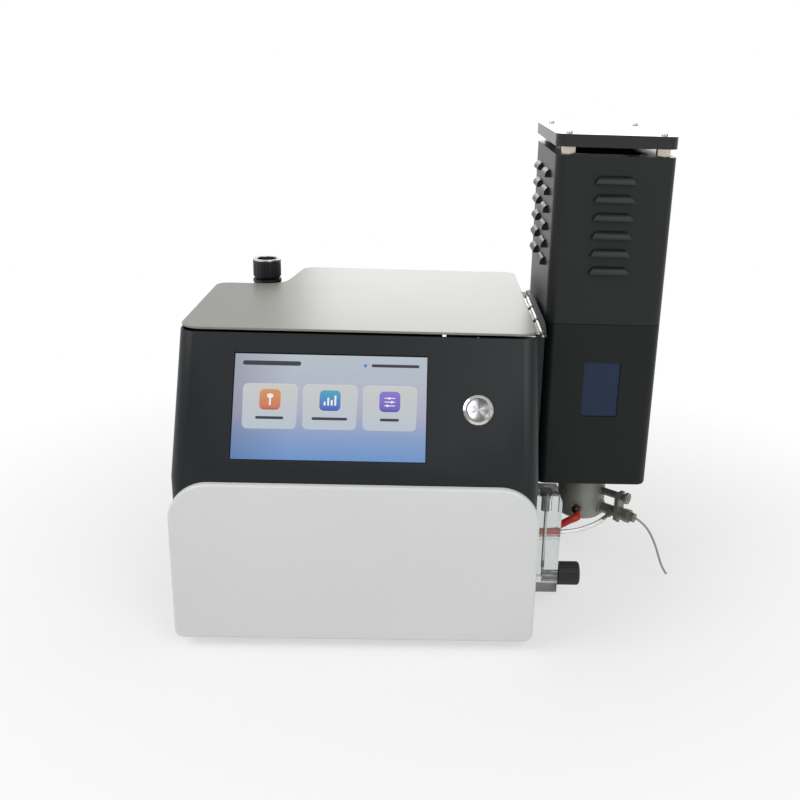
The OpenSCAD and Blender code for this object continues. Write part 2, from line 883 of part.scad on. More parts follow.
module control_board() color("darkgreen") at_case() {
    x0 = board_posts[0] - board_rim;
    y0 = board_posts[1] - board_rim;
    translate([x0, y0, board_z])
        cube([board_posts[2] - x0 + board_rim, board_posts[3] - y0 + board_rim, board_t]);
    for (i = [0:3])
        translate([x0 + chip_pitch * (i + 0.6), y0 + chip_pitch, board_z + board_t])
            cube(chip);
    for (i = [0:2])
        translate([x0 + plug_pitch * (i + 0.5), y0 + 2 * plug_pitch, board_z + board_t])
            cube(plug_row);
}

module power_supply() color("lightgray") at_case()
    difference() {
        translate([supply_at[0], supply_at[1], floor_z])
            cube(supply_box);
        for (i = [0:7])
            translate([
                supply_at[0] + supply_slot[0] * (1.4 + 2 * i),
                supply_at[1] + (supply_box[1] - supply_slot[1]) / 2,
                floor_z + supply_box[2] - supply_slot[2] / 2
            ])
                cube(supply_slot);
    }

module gas_valve() color("goldenrod") at_case() {
    translate([valve_at[0], valve_at[1], floor_z])
        cube(valve_box);
    translate([valve_at[0] + valve_box[0] / 2, valve_at[1] + valve_box[1] / 2, floor_z + valve_box[2]])
        cylinder(r = valve_coil_r, h = valve_coil_h);
}

module ignition_coil() color([0.25, 0.25, 0.27]) at_case() {
    translate([coil_at[0], coil_at[1], floor_z])
        cube(coil_box);
    translate([coil_at[0] + coil_box[0] / 2, coil_at[1] + coil_box[1] / 2, floor_z + coil_box[2]])
        cylinder(r = coil_post_r, h = coil_post_h);
}

module detector_block() color([0.2, 0.2, 0.21]) at_case()
    difference() {
        union() {
            translate([block_x0, burner_y - block_side, optic_z - block_side])
                cube([lens_tube_x0 - block_x0, 2 * block_side, 2 * block_side]);
            translate([(block_x0 + lens_tube_x0) / 2 - post_side, burner_y - post_side, floor_z])
                cube([2 * post_side, 2 * post_side, optic_z - block_side - floor_z + 1]);
        }
        for (i = [-1:1])
            across(block_x0 - 1, burner_y + i * filter_step, optic_z) {
                cylinder(r = filter_r + play, h = filter_depth + 1);
                cylinder(r = filter_r - 1, h = lens_tube_x0 - block_x0 + 2);
            }
    }

module optical_filters() color("orange") at_case()
    for (i = [-1:1])
        across(block_x0 + filter_depth - filter_t, burner_y + i * filter_step, optic_z)
            cylinder(r = filter_r, h = filter_t);

module detector_board() color("darkgreen") at_case() {
    translate([block_x0 - board_t, burner_y - block_side, optic_z - block_side])
        cube([board_t, 2 * block_side, 2 * block_side]);
    for (i = [-1:1])
        across(block_x0, burner_y + i * filter_step, optic_z)
            cylinder(r = filter_r - 1, h = 4);
}

module lens_tube() color([0.16, 0.16, 0.17]) at_case()
    difference() {
        across(lens_tube_x0, burner_y, optic_z)
            cylinder(r = lens_tube_r, h = tower_x + tower_wall + tube_out - lens_tube_x0);
        across(lens_tube_x0 - 1, burner_y, optic_z)
            cylinder(r = lens_r - 2, h = 100);
        across(lens_seat_x, burner_y, optic_z)
            cylinder(r = lens_r + run, h = 100);
    }

module lens() color("lightcyan") at_case()
    across(lens_seat_x, burner_y, optic_z)
        cylinder(r = lens_r, h = lens_t);

// Burner and mixing chamber

module at_burner(z)
    translate([burner_x, burner_y, z])
        children();

// Along the nebulizer's axis: x out of the chamber, z up
module at_nebulizer()
    at_burner(neb_z)
        rotate([0, 0, -neb_turn])
            children();

module mixing_chamber() color([0.45, 0.46, 0.45]) at_case()
    difference() {
        union() {
            at_burner(chamber_z)
                cylinder(r1 = chamber_r - 2.5, r2 = chamber_r, h = 2.5);
            at_burner(chamber_z + 2.5)
                cylinder(r = chamber_r, h = chamber_h - 2.5);
            at_burner(tower_z)
                cylinder(r = neck_r, h = tower_wall + neck_h);
            at_nebulizer() {
                across(boss_x0, 0, 0)
                    cylinder(r = 7, h = neb_x0 - boss_x0);
                across(boss_x0, 0, stud_up)
                    cylinder(r = 4.5, h = neb_x0 - boss_x0);
            }
            at_burner(elbow_z)
                rotate([0, 0, elbow_turn])
                    across(boss_x0, 0, 0)
                        cylinder(r = 6, h = neb_x0 - boss_x0);
            backward(burner_x, burner_y + boss_x0, drain_z)
                cylinder(r = 6, h = neb_x0 - boss_x0);
        }
        at_burner(chamber_z + chamber_wall)
            cylinder(r = chamber_r - chamber_wall, h = chamber_h - 2 * chamber_wall);
        at_burner(tower_z - chamber_wall - 1)
            cylinder(r = neck_r - chamber_wall, h = chamber_h);
        at_nebulizer()
            across(0, 0, 0)
                cylinder(r = 1.5, h = chamber_r + 4);
    }

module burner_head() color("silver") at_case()
    difference() {
        union() {
            at_burner(head_z)
                cylinder(r = neck_r, h = 6);
            at_burner(head_z + 6)
                cylinder(r1 = neck_r, r2 = head_r, h = 6);
            at_burner(head_z + 12)
                cylinder(r = head_r, h = head_h - 12);
        }
        at_burner(head_z - 1)
            cylinder(r = neck_r - chamber_wall, h = head_h - 3);
        for (i = [0:5])
            at_burner(head_z + head_h - 6)
                rotate([0, 0, 60 * i])
                    translate([6, 0, 0])
                        cylinder(r = 1.2, h = 8, $fn = 24);
        at_burner(head_z + head_h - 6)
            cylinder(r = 1.2, h = 8, $fn = 24);
    }

module igniter() color("white") at_case()
    at_burner(floor_top)
        translate([igniter_x, igniter_y, 0]) {
            cylinder(r = igniter_r, h = igniter_h);
            translate([0, 0, igniter_h])
                cylinder(r = wire_r, h = spark_gap_h, $fn = 16);
            across(-wire_r, 0, igniter_h + spark_gap_h)
                cylinder(r = wire_r, h = spark_l, $fn = 16);
        }

module drain_fitting() color("goldenrod") at_case()
    difference() {
        union() {
            backward(burner_x, burner_y + neb_x0, drain_z)
                hexagon(11, 5);
            backward(burner_x, burner_y + neb_x0 + 5, drain_z)
                cylinder(r = 4, h = drain_l);
        }
        backward(burner_x, burner_y + neb_x0 - 1, drain_z)
            cylinder(r = 2.5, h = drain_l + 8);
    }

module inner_chimney() color("silver") at_case()
    difference() {
        at_burner(floor_top)
            ring(chimney_r, chimney_r - chimney_wall, chimney_h);
        across(burner_x - 2 * chimney_r, burner_y, optic_z)
            cylinder(r = lens_r + 2, h = 2 * chimney_r);
        translate([window_x - 14, burner_y - 2 * chimney_r, optic_z - 24])
            cube([28, 2 * chimney_r, 48]);
        for (i = [0:7])
            at_burner(floor_top + 12)
                rotate([0, 0, 22.5 + 45 * i])
                    across(chimney_r / 2, 0, 0)
                        cylinder(r = 4, h = chimney_r, $fn = 24);
    }

// Nebulizer

module nebulizer_body() color([0.2, 0.2, 0.19]) at_case() at_nebulizer() {
    across(neb_x0, 0, 0)
        cylinder(r = neb_r, h = yoke_x + yoke_t - neb_x0);
    across(yoke_x + yoke_t, 0, 0)
        cylinder(r = nut_r - 0.4, h = flange_x1 - yoke_x - yoke_t);
    across(flange_x1, 0, 0)
        cylinder(r = spigot_r, h = spigot_x1 - flange_x1);
    translate([barb_x, 0, 0])
        rotate([90 + barb_droop, 0, 0]) {
            cylinder(r = 3, h = neb_r + 3);
            cylinder(r = barb_r, h = barb_l);
        }
}

module nebulizer_nut() color([0.3, 0.3, 0.29]) at_case() at_nebulizer()
    difference() {
        union() {
            across(nut_x0, 0, 0)
                cylinder(r = nut_r, h = nut_l);
            across(tip_x0, 0, 0)
                hexagon(8.4, neb_reach - tip_x0);
        }
        across(nut_x0 - 1, 0, 0)
            cylinder(r = spigot_r + run, h = spigot_x1 - nut_x0 + 1 + gap);
        across(nut_x0, 0, 0)
            cylinder(r = capillary_d / 2 + gap, h = neb_reach, $fn = 24);
    }

module nebulizer_yoke() color([0.28, 0.28, 0.27]) at_case() at_nebulizer() {
    difference() {
        translate([yoke_x, -yoke_w / 2, -yoke_down])
            cube([yoke_t, yoke_w, stud_up + yoke_up + yoke_down]);
        across(yoke_x - 1, 0, 0)
            cylinder(r = neb_r + play, h = yoke_t + 2);
        across(yoke_x - 1, 0, stud_up)
            cylinder(r = stud_thread_r + play, h = yoke_t + 2);
    }
    translate([yoke_x + yoke_t / 2, 0, -yoke_down - 3])
        cylinder(r = 1.8, h = 3.5);
}

module clamp_stud() color([0.3, 0.3, 0.29]) at_case() at_nebulizer() {
    across(neb_x0, 0, stud_up)
        cylinder(r = stud_r, h = yoke_x - neb_x0);
    across(yoke_x, 0, stud_up)
        cylinder(r = stud_thread_r, h = stud_tip - yoke_x);
}

module clamp_knob() color("silver") at_case() at_nebulizer()
    difference() {
        union() {
            across(yoke_x + yoke_t + gap, 0, stud_up)
                cylinder(r = 3.2, h = clamp_neck_l);
            across(yoke_x + yoke_t + gap + clamp_neck_l, 0, stud_up)
                cylinder(r = clamp_knob_r, h = clamp_disc_t);
        }
        across(yoke_x + yoke_t, 0, stud_up)
            cylinder(r = stud_thread_r + run, h = 12);
    }

// Hoses

function unit3(a, b) = (b - a) / norm(b - a);

function route_way(p, i) =
    i == 0 ? unit3(p[0], p[1])
    : i == len(p) - 1 ? unit3(p[i - 1], p[i])
    : unit3(p[i - 1], p[i]) + unit3(p[i], p[i + 1]);

// A solid tube of the given radius along a route, its rings squared to the route
module tube(route, r, sides, up) {
    rings = [
        for (i = [0:len(route) - 1])
            let (
                w = route_way(route, i) / norm(route_way(route, i)),
                u = cross(up, w) / norm(cross(up, w)),
                v = cross(w, u)
            )
            for (k = [0:sides - 1])
                route[i] + r * (cos(360 * k / sides) * u + sin(360 * k / sides) * v)
    ];
    last = (len(route) - 1) * sides;
    faces = concat(
        [for (k = [1:sides - 2]) [0, k, k + 1]],
        [for (k = [1:sides - 2]) [last, last + k + 1, last + k]],
        [for (i = [0:len(route) - 2], k = [0:sides - 1])
            [i * sides + k, (i + 1) * sides + k, i * sides + (k + 1) % sides]],
        [for (i = [0:len(route) - 2], k = [0:sides - 1])
            [i * sides + (k + 1) % sides, (i + 1) * sides + k, (i + 1) * sides + (k + 1) % sides]]
    );
    polyhedron(points = rings, faces = faces);
}

module gas_hose() color("firebrick") at_case()
    tube(gas_route, gas_hose_d / 2, hose_sides, [0, 0, 1]);

module air_hose() color("whitesmoke") at_case()
    tube(air_route, air_hose_d / 2, hose_sides, [0, 0, 1]);

module sample_capillary() color("lightgray") at_case()
    tube(capillary_route, capillary_d / 2, capillary_sides, [0, 1, 0]);

module gas_elbow() color([0.4, 0.32, 0.24]) at_case() {
    at_burner(elbow_z)
        rotate([0, 0, elbow_turn])
            across(neb_x0, 0, 0)
                cylinder(r = 4, h = chamber_r + elbow_out - neb_x0);
    translate(elbow_centre)
        sphere(r = elbow_r);
    translate(elbow_centre)
        rotate([0, acos(elbow_way[2]), atan2(elbow_way[1], elbow_way[0])])
            cylinder(r = gas_barb_r, h = elbow_barb_l);
}

module hose_fittings() color("goldenrod") at_case() {
    for (p = side_fits) {
        across(half_w - sheet - 4, p[0], p[1])
            cylinder(r = fit_thread_r, h = sheet + 4);
        across(half_w, p[0], p[1])
            hexagon(fit_af, 5);
        across(half_w, p[0], p[1])
            cylinder(r = p[2], h = fit_out);
    }
    backward(gas_in_x, body_d - sheet - 4, gas_in_z)
        cylinder(r = fit_thread_r, h = sheet + 4);
    backward(gas_in_x, body_d, gas_in_z)
        hexagon(14, 6);
    backward(gas_in_x, body_d, gas_in_z)
        cylinder(r = fit_thread_r, h = rear_reach);
}

// Flowmeter

module flowmeter_body() color([0.8, 0.85, 0.86, 0.5]) at_case()
    difference() {
        translate([0, flow_y + flow_w, 0])
            rotate([90, 0, 0])
                linear_extrude(flow_w)
                    polygon([
                        [half_w, flow_z], [flow_x1, flow_z], [flow_x1, flow_top - corner_cut],
                        [flow_x1 - corner_cut / 2, flow_top], [half_w, flow_top]
                    ]);
        translate([flow_axis_x, flow_axis_y, bore_z0])
            cylinder(r = flow_bore_r, h = flow_h);
        translate([flow_axis_x, flow_axis_y, flow_top - plug_h - plug_collar_h])
            cylinder(r = collar_r + run, h = flow_h);
        translate([flow_axis_x, flow_axis_y, flow_top - plug_h])
            cylinder(r = plug_r + run, h = flow_h);
        across(flow_x1 - bush_l, flow_axis_y, valve_z)
            cylinder(r = bush_r + run, h = bush_l + 1);
        translate([flow_axis_x, flow_axis_y, valve_z])
            cylinder(r = duct_r, h = bore_z0 - valve_z + 1, $fn = 24);
        across(half_w - 1, flow_axis_y, valve_z)
            cylinder(r = duct_r, h = flow_axis_x - half_w + 1, $fn = 24);
    }

module flowmeter_float() color("black") at_case()
    translate([flow_axis_x, flow_axis_y, bore_z0 + gap]) {
        cylinder(r1 = 0.8, r2 = flow_bore_r - float_play, h = float_h - 2);
        translate([0, 0, float_h - 2])
            cylinder(r = flow_bore_r - float_play, h = 2);
    }

module flowmeter_fittings() color([0.3, 0.3, 0.32]) at_case() {
    translate([flow_axis_x, flow_axis_y, flow_top - plug_h - plug_collar_h])
        cylinder(r = collar_r, h = plug_collar_h);
    translate([flow_axis_x, flow_axis_y, flow_top - plug_h])
        cylinder(r = plug_r, h = plug_h);
    across(flow_x1 - bush_l, flow_axis_y, valve_z)
        ring(bush_r, valve_stem_r + run, bush_l);
}

module valve_stem() color("silver") at_case()
    across(flow_x1 - bush_l + 1, flow_axis_y, valve_z)
        cylinder(r = valve_stem_r, h = knob_x0 - flow_x1 + bush_l - 1);

module valve_knob() color([0.13, 0.14, 0.16]) at_case()
    difference() {
        union() {
            across(knob_x0, flow_axis_y, valve_z)
                cylinder(r = valve_knob_r, h = valve_knob_l - 1.5);
            across(knob_x0 + valve_knob_l - 1.5, flow_axis_y, valve_z)
                cylinder(r1 = valve_knob_r, r2 = valve_knob_r - 1.2, h = 1.5);
        }
        for (i = [0:grip_n - 1])
            translate([knob_x0 - 1, flow_axis_y, valve_z])
                rotate([360 * i / grip_n, 0, 0])
                    across(0, 0, valve_knob_r + grip_r / 2)
                        cylinder(r = grip_r, h = valve_knob_l + 2, $fn = 16);
    }

// Tower

module tower_outline(e)
    polygon(rounded(
        box_corners(tower_x + e, tower_y + e, tower_x1 - e, tower_y1 - e),
        [for (r = [tower_r, tower_r, tower_rear_r, tower_rear_r]) max(r - e, 1)]
    ));

module tower_slab(z, h, e)
    translate([0, 0, z])
        linear_extrude(h)
            tower_outline(e);

module tower_lower() color([0.19, 0.2, 0.2]) at_case()
    difference() {
        union() {
            tower_slab(tower_z + floor_bend, lower_h - floor_bend - seam / 2, 0);
            hull() {
                tower_slab(tower_z, tiny, floor_bend);
                tower_slab(tower_z + 0.3 * floor_bend, tiny, 0.3 * floor_bend);
                tower_slab(tower_z + floor_bend - tiny, 2 * tiny, 0);
            }
        }
        tower_slab(tower_z + floor_bend, lower_h, tower_wall);
        tower_slab(floor_top, lower_h, floor_bend + tower_wall);
        at_burner(tower_z - 1)
            cylinder(r = neck_r + play, h = 2 * tower_wall + 2);
        translate([window_x - window_w / 2, tower_y - 1, window_z - window_h / 2])
            cube([window_w, 2 * tower_wall + 2, window_h]);
        across(tower_x - 1, burner_y, optic_z)
            cylinder(r = lens_tube_r + play, h = tower_wall + 2);
    }

// A pressed louvre on a wall that faces -Y, open below, its foot at z = 0: its bulge seen from
// the side, cut to a rounded outline seen from the front
module louvre_bulge(e, z0)
    intersection() {
        translate([-louvre_l / 2, 0, 0])
            rotate([90, 0, 90])
                linear_extrude(louvre_l)
                    polygon(concat(
                        [[1 - e / 2, z0], [e - louvre_out, z0]],
                        [for (a = [25:25:75]) [(e - louvre_out) * cos(a), (louvre_h - e) * sin(a)]],
                        [[0, louvre_h - e], [1 - e / 2, louvre_h - e]]
                    ));
        translate([0, 2, 0])
            rotate([90, 0, 0])
                linear_extrude(louvre_out + 3)
                    polygon(rounded([
                        [e - louvre_l / 2, z0], [louvre_l / 2 - e, z0],
                        [louvre_l / 2 - louvre_taper - e, louvre_h - e],
                        [louvre_taper + e - louvre_l / 2, louvre_h - e]
                    ], [0, 0, louvre_bend - e, louvre_bend - e]));
    }

module louvre_hood()
    difference() {
        louvre_bulge(0, 0);
        louvre_bulge(louvre_wall, -1);
    }

module louvre_slot()
    translate([-louvre_l / 2 + louvre_taper + 1, -1, 0])
        cube([louvre_l - 2 * louvre_taper - 2, tower_wall + 2, louvre_h - 3 * louvre_wall]);

// Every louvre's place: columns on the front, the rear and both sides
module at_louvres() {
    mid_x = (tower_x + tower_x1) / 2;
    mid_y = (tower_y + tower_y1) / 2 + louvre_back;
    for (i = [0:louvre_n - 1]) {
        z = mouth_z - louvre_drop - i * louvre_pitch;
        translate([mid_x, tower_y, z])
            children();
        translate([mid_x, tower_y1, z])
            rotate([0, 0, 180])
                children();
        for (k = [-0.5, 0.5]) {
            translate([tower_x, mid_y + k * louvre_cols, z])
                rotate([0, 0, -90])
                    children();
            translate([tower_x1, mid_y + k * louvre_cols, z])
                rotate([0, 0, 90])
                    children();
        }
    }
}

module tower_upper() color([0.19, 0.2, 0.2]) at_case()
    difference() {
        union() {
            tower_slab(seam_z + seam / 2, upper_h - seam / 2, 0);
            at_louvres()
                louvre_hood();
        }
        tower_slab(seam_z - 1, upper_h + 1 - tower_wall, tower_wall);
        translate([0, 0, mouth_z - 2 * tower_wall])
            linear_extrude(4 * tower_wall)
                box_outline(
                    tower_x + flange_w, tower_y + flange_w,
                    tower_x1 - flange_w, tower_y1 - flange_w, 4
                );
        at_louvres()
            louvre_slot();
    }

module window_pane(y, t, w, h)
    translate([window_x - w / 2, y, window_z - h / 2])
        cube([w, t, h]);

module window_glass() color([0.12, 0.2, 0.32]) at_case()
    window_pane(tower_y + tower_wall, window_t, window_w + 2 * window_rim, window_h + 2 * window_rim);

module window_frame() color([0.16, 0.16, 0.17]) at_case()
    difference() {
        window_pane(
            tower_y + tower_wall + window_t, 1.5,
            window_w + 2 * window_rim, window_h + 2 * window_rim
        );
        window_pane(tower_y, 20, window_w, window_h);
    }

module lid_slab(z, h, e)
    translate([0, 0, z])
        linear_extrude(h)
            box_outline(
                lid_x0 + e, tower_y - lid_over + e,
                lid_x0 + lid_w - e, tower_y1 + lid_over - e, tower_r - e
            );

module at_lid_screws(z)
    translate([0, 0, z])
        at_corners(
            tower_x + screw_in_x, tower_y + screw_in_y,
            tower_x1 - screw_in_x, tower_y1 - screw_in_y
        )
            children();

module tower_lid() color("gainsboro") at_case()
    difference() {
        lid_slab(lid_z, lid_h, 0);
        lid_slab(lid_z - 1, lid_h + 1 - lid_wall, lid_wall);
        at_lid_screws(lid_z)
            cylinder(r = lid_screw_r + play, h = lid_h + 1);
    }

module lid_standoffs() color("tan") at_case()
    at_lid_screws(mouth_z)
        difference() {
            rotate([0, 0, 30])
                hexagon(standoff_af, standoff_h);
            translate([0, 0, standoff_h - lid_screw_l])
                cylinder(r = lid_screw_r + run, h = lid_screw_l + 1);
        }

module lid_screws() color("silver") at_case()
    at_lid_screws(lid_top_z) {
        cylinder(r1 = lid_head_r, r2 = lid_head_r - 0.8, h = lid_head_h);
        translate([0, 0, gap - lid_wall - lid_screw_l])
            cylinder(r = lid_screw_r, h = lid_wall + lid_screw_l - gap);
    }

// Regulator

module at_regulator(z)
    translate([-reg_x, reg_y, z])
        children();

module regulator_body() color([0.3, 0.31, 0.32]) at_case()
    difference() {
        union() {
            at_regulator(reg_body_z)
                translate([-reg_w / 2, -reg_w / 2, 0])
                    cube([reg_w, reg_w, reg_body_h]);
            translate([-reg_x - reg_w / 2, notch_y, reg_body_z + reg_body_h - arm_h - 8])
                cube([arm_w, reg_y - reg_w / 2 - notch_y + 1, arm_h]);
            across(-reg_x - reg_w / 2 - 6, reg_y, reg_body_z + reg_body_h / 2)
                cylinder(r = 8, h = 8);
        }
        across(-reg_x - reg_w / 2 - 7, reg_y, reg_body_z + reg_body_h / 2)
            cylinder(r = port_r, h = 17);
    }

module regulator_bonnet() color([0.14, 0.14, 0.15]) at_case() {
    at_regulator(reg_bonnet_z)
        cylinder(r = reg_bonnet_r, h = reg_bonnet_h - reg_nut_h);
    at_regulator(reg_bonnet_z + reg_bonnet_h - reg_nut_h)
        cylinder(r = reg_bonnet_r + 0.8, h = reg_nut_h);
    at_regulator(reg_bonnet_z + reg_bonnet_h)
        cylinder(r = reg_stem_r, h = 7);
}

module regulator_bowl() color([0.75, 0.78, 0.8, 0.6]) at_case() {
    at_regulator(reg_body_z - reg_bowl_h + 8)
        cylinder(r = reg_bowl_r, h = reg_bowl_h - 8);
    at_regulator(reg_body_z - reg_bowl_h)
        cylinder(r1 = 8, r2 = reg_bowl_r, h = 8);
    at_regulator(reg_body_z - reg_bowl_h - 8)
        cylinder(r = 3.5, h = 8);
}

module regulator_knob() color([0.12, 0.13, 0.14]) at_case()
    difference() {
        union() {
            at_regulator(reg_knob_z)
                cylinder(r1 = reg_knob_r - 2, r2 = reg_knob_r, h = 3);
            at_regulator(reg_knob_z + 3)
                cylinder(r = reg_knob_r, h = reg_knob_h - 3 - reg_ring_h);
        }
        at_regulator(reg_knob_z - 1)
            cylinder(r = reg_stem_r + run, h = 9);
        at_regulator(reg_knob_z + reg_knob_h - reg_ring_h - 3)
            cylinder(r = reg_knob_r - 4, h = 4);
        for (i = [0:grip_n - 1])
            at_regulator(reg_knob_z + 3)
                rotate([0, 0, 360 * i / grip_n])
                    translate([reg_knob_r + grip_r / 2, 0, 0])
                        cylinder(r = grip_r, h = reg_knob_h - 8, $fn = 16);
    }

module regulator_ring() color("silver") at_case()
    at_regulator(reg_knob_z + reg_knob_h - reg_ring_h)
        ring(reg_knob_r - 0.5, reg_knob_r - 4, reg_ring_h);

// Rear

// One moulding holds the inlet's socket and the frame of the rocker
module power_inlet() color([0.13, 0.13, 0.14]) at_case() {
    lip_x0 = rocker_x - rocker_w / 2 - 10;
    difference() {
        union() {
            translate([inlet_x - inlet_w / 2, body_d - inlet_depth, inlet_z - inlet_h / 2])
                cube([inlet_w, inlet_depth + 1, inlet_h]);
            translate([rocker_x - rocker_w / 2, body_d - rocker_depth, inlet_z - rocker_h / 2])
                cube([rocker_w, rocker_depth + 1, rocker_h]);
            translate([lip_x0, body_d, inlet_z - inlet_h / 2 - 2])
                cube([inlet_x + inlet_w / 2 + 10 - lip_x0, inlet_lip, inlet_h + 4]);
        }
        translate([inlet_x - 12, body_d - 16, inlet_z - 8])
            cube([24, 30, 16]);
        translate([
            rocker_x - rocker_w / 2 + rocker_wall, body_d - rocker_depth + 2,
            inlet_z - rocker_h / 2 + 0.9
        ])
            cube([rocker_w - 2 * rocker_wall, 2 * rocker_depth, rocker_h - 1.8]);
        across(rocker_x - rocker_w / 2 + 0.2, pivot_y, inlet_z)
            cylinder(r = pivot_r + run, h = rocker_w - 0.4);
    }
    for (i = [-1:1])
        translate([inlet_x + 7 * i - 1, body_d - 17, inlet_z - 2 + (i == 0 ? 3 : -1)])
            cube([2, 14, 4]);
}

module rocker_switch() color([0.1, 0.1, 0.11]) at_case() {
    w = rocker_w - 2 * rocker_wall - 2 * play;
    translate([rocker_x - w / 2, pivot_y, inlet_z])
        rotate([rocker_tilt, 0, 0])
            rotate([90, 0, 90])
                linear_extrude(w)
                    polygon([
                        [-5, -3], [0, -7.6], [3.4, -7.6], [2.2, 0], [3.4, 7.6], [0, 7.6], [-5, 3]
                    ]);
    across(rocker_x - rocker_w / 2 + 0.4, pivot_y, inlet_z)
        cylinder(r = pivot_r, h = rocker_w - 0.8);
}

module fan_frame() color([0.15, 0.15, 0.16]) at_case()
    backward(fan_x, fan_y0, fan_z) {
        difference() {
            linear_extrude(fan_t)
                box_outline(-fan_w / 2, -fan_w / 2, fan_w / 2, fan_w / 2, 4);
            translate([0, 0, -1])
                cylinder(r = fan_bore_r, h = fan_t + 2);
            at_corners(-fan_w / 2 + 5, -fan_w / 2 + 5, fan_w / 2 - 5, fan_w / 2 - 5)
                translate([0, 0, -1])
                    cylinder(r = 2, h = fan_t + 2, $fn = 24);
        }
        difference() {
            union() {
                cylinder(r = fan_hub_r - 1, h = strut_t);
                for (i = [0:3])
                    rotate([0, 0, 90 * i])
                        translate([0, -1.5, 0])
                            cube([fan_bore_r + 0.5, 3, strut_t]);
            }
            translate([0, 0, -1])
                cylinder(r = fan_shaft_r + run, h = strut_t + 2);
        }
    }

module fan_rotor() color([0.1, 0.1, 0.11]) at_case()
    backward(fan_x, fan_y0, fan_z) {
        translate([0, 0, strut_t + gap])
            cylinder(r = fan_hub_r, h = fan_t - strut_t - 3);
        cylinder(r = fan_shaft_r, h = strut_t + gap + 1);
        for (i = [0:blade_n - 1])
            rotate([0, 0, 360 * i / blade_n])
                translate([fan_hub_r - 1, 0, strut_t + (fan_t - strut_t) / 2])
                    rotate([40, 0, 0])
                        translate([0, -0.8, -10])
                            cube([fan_bore_r - fan_hub_r - 1, 1.6, 20]);
    }

base_tray();
housing();
front_cover();
rear_panel();
top_cover();
hinge_leaf_moving();
hinge_leaf_fixed();
hinge_pin();
mount_plate();
feet();
foot_screws();
touch_glass();
display_module();
button_body();
button_cap();
control_board();
power_supply();
gas_valve();
ignition_coil();
detector_block();
lens_tube();
lens();
optical_filters();
detector_board();
mixing_chamber();
burner_head();
igniter();
drain_fitting();
nebulizer_body();
nebulizer_yoke();
clamp_stud();
clamp_knob();
nebulizer_nut();
sample_capillary();
gas_elbow();
gas_hose();
air_hose();
hose_fittings();
flowmeter_body();
flowmeter_float();
flowmeter_fittings();
valve_stem();
valve_knob();
tower_lower();
tower_upper();
window_glass();
window_frame();
inner_chimney();
tower_lid();
lid_standoffs();
lid_screws();
regulator_body();
regulator_bonnet();
regulator_bowl();
regulator_knob();
regulator_ring();
power_inlet();
rocker_switch();
fan_frame();
fan_rotor();
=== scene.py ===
# Flame photometer: an instrument case with a touch screen, and a burner tower on its right side.
import math

import bmesh
import bpy
from mathutils import Matrix, Vector


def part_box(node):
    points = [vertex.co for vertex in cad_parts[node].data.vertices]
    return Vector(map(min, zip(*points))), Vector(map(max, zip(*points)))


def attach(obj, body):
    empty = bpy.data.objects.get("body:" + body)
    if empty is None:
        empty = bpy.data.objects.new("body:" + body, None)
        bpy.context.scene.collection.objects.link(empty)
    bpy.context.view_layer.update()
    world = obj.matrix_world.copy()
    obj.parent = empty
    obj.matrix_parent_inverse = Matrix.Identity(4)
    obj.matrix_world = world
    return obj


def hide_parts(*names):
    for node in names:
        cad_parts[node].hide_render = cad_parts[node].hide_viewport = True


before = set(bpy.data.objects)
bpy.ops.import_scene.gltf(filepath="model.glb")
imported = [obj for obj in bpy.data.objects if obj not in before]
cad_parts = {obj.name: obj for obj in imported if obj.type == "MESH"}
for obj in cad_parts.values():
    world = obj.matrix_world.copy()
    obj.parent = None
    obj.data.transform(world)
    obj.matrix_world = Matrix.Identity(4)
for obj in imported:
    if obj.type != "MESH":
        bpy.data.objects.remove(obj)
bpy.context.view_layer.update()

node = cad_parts
scene = bpy.context.scene
scene.view_settings.view_transform = "Standard"

# ---- Camera ----
# A normal lens a little under a metre away, above the right half of the case and looking down on
# it. Places in this file are millimetres from the middle of the front cover's foot line.
cover_low, cover_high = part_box("front_cover")
case_foot = Vector(((cover_low[0] + cover_high[0]) / 2, cover_low[1], 0))


def at(x, y, z):
    """A place on the instrument, from millimetres to metres."""
    return case_foot + Vector((x, y, z)) / 1000


camera_place = (51, -704.2, 462.4)
yaw, pitch, roll = (math.radians(a) for a in (-1.85, 18.89, 1.84))
picture_size, focal_length, centre_x, centre_y = 800, 991.2, 452.5, 395.9  # pixels
forward = Vector((
    -math.sin(yaw) * math.cos(pitch), math.cos(yaw) * math.cos(pitch), -math.sin(pitch)))
level = Vector((math.cos(yaw), math.sin(yaw), 0))
upright = level.cross(forward)
right = math.cos(roll) * level + math.sin(roll) * upright
up = math.cos(roll) * upright - math.sin(roll) * level
lens = bpy.data.cameras.new("lens")
lens.sensor_width = 36
lens.lens = lens.sensor_width * focal_length / picture_size
lens.shift_x = (picture_size / 2 - centre_x) / picture_size
lens.shift_y = (centre_y - picture_size / 2) / picture_size
camera = bpy.data.objects.new("camera", lens)
scene.collection.objects.link(camera)
view_axes = Matrix((right, up, -forward)).transposed().to_4x4()
camera.matrix_world = Matrix.Translation(at(*camera_place)) @ view_axes
scene.camera = camera


# ---- Hoses ----
# Three free tubes between the fittings: red rubber for the fuel gas, clear PVC for the air, and
# the thin sample capillary of the nebulizer, whose end hangs free.
def linear(colour):
    """An sRGB hex colour as linear red, green, blue and alpha."""
    parts = [int(colour[i:i + 2], 16) / 255 for i in (1, 3, 5)]
    return tuple(c / 12.92 if c <= 0.04045 else ((c + 0.055) / 1.055) ** 2.4 for c in parts) + (1.0,)


def add(tree, kind, inputs=None, **settings):
    """Adds a node with its settings, and links or sets its inputs."""
    made = tree.nodes.new(kind)
    for key, value in settings.items():
        setattr(made, key, value)
    for key, value in (inputs or {}).items():
        if isinstance(value, bpy.types.NodeSocket):
            tree.links.new(value, made.inputs[key])
        else:
            made.inputs[key].default_value = value
    return made


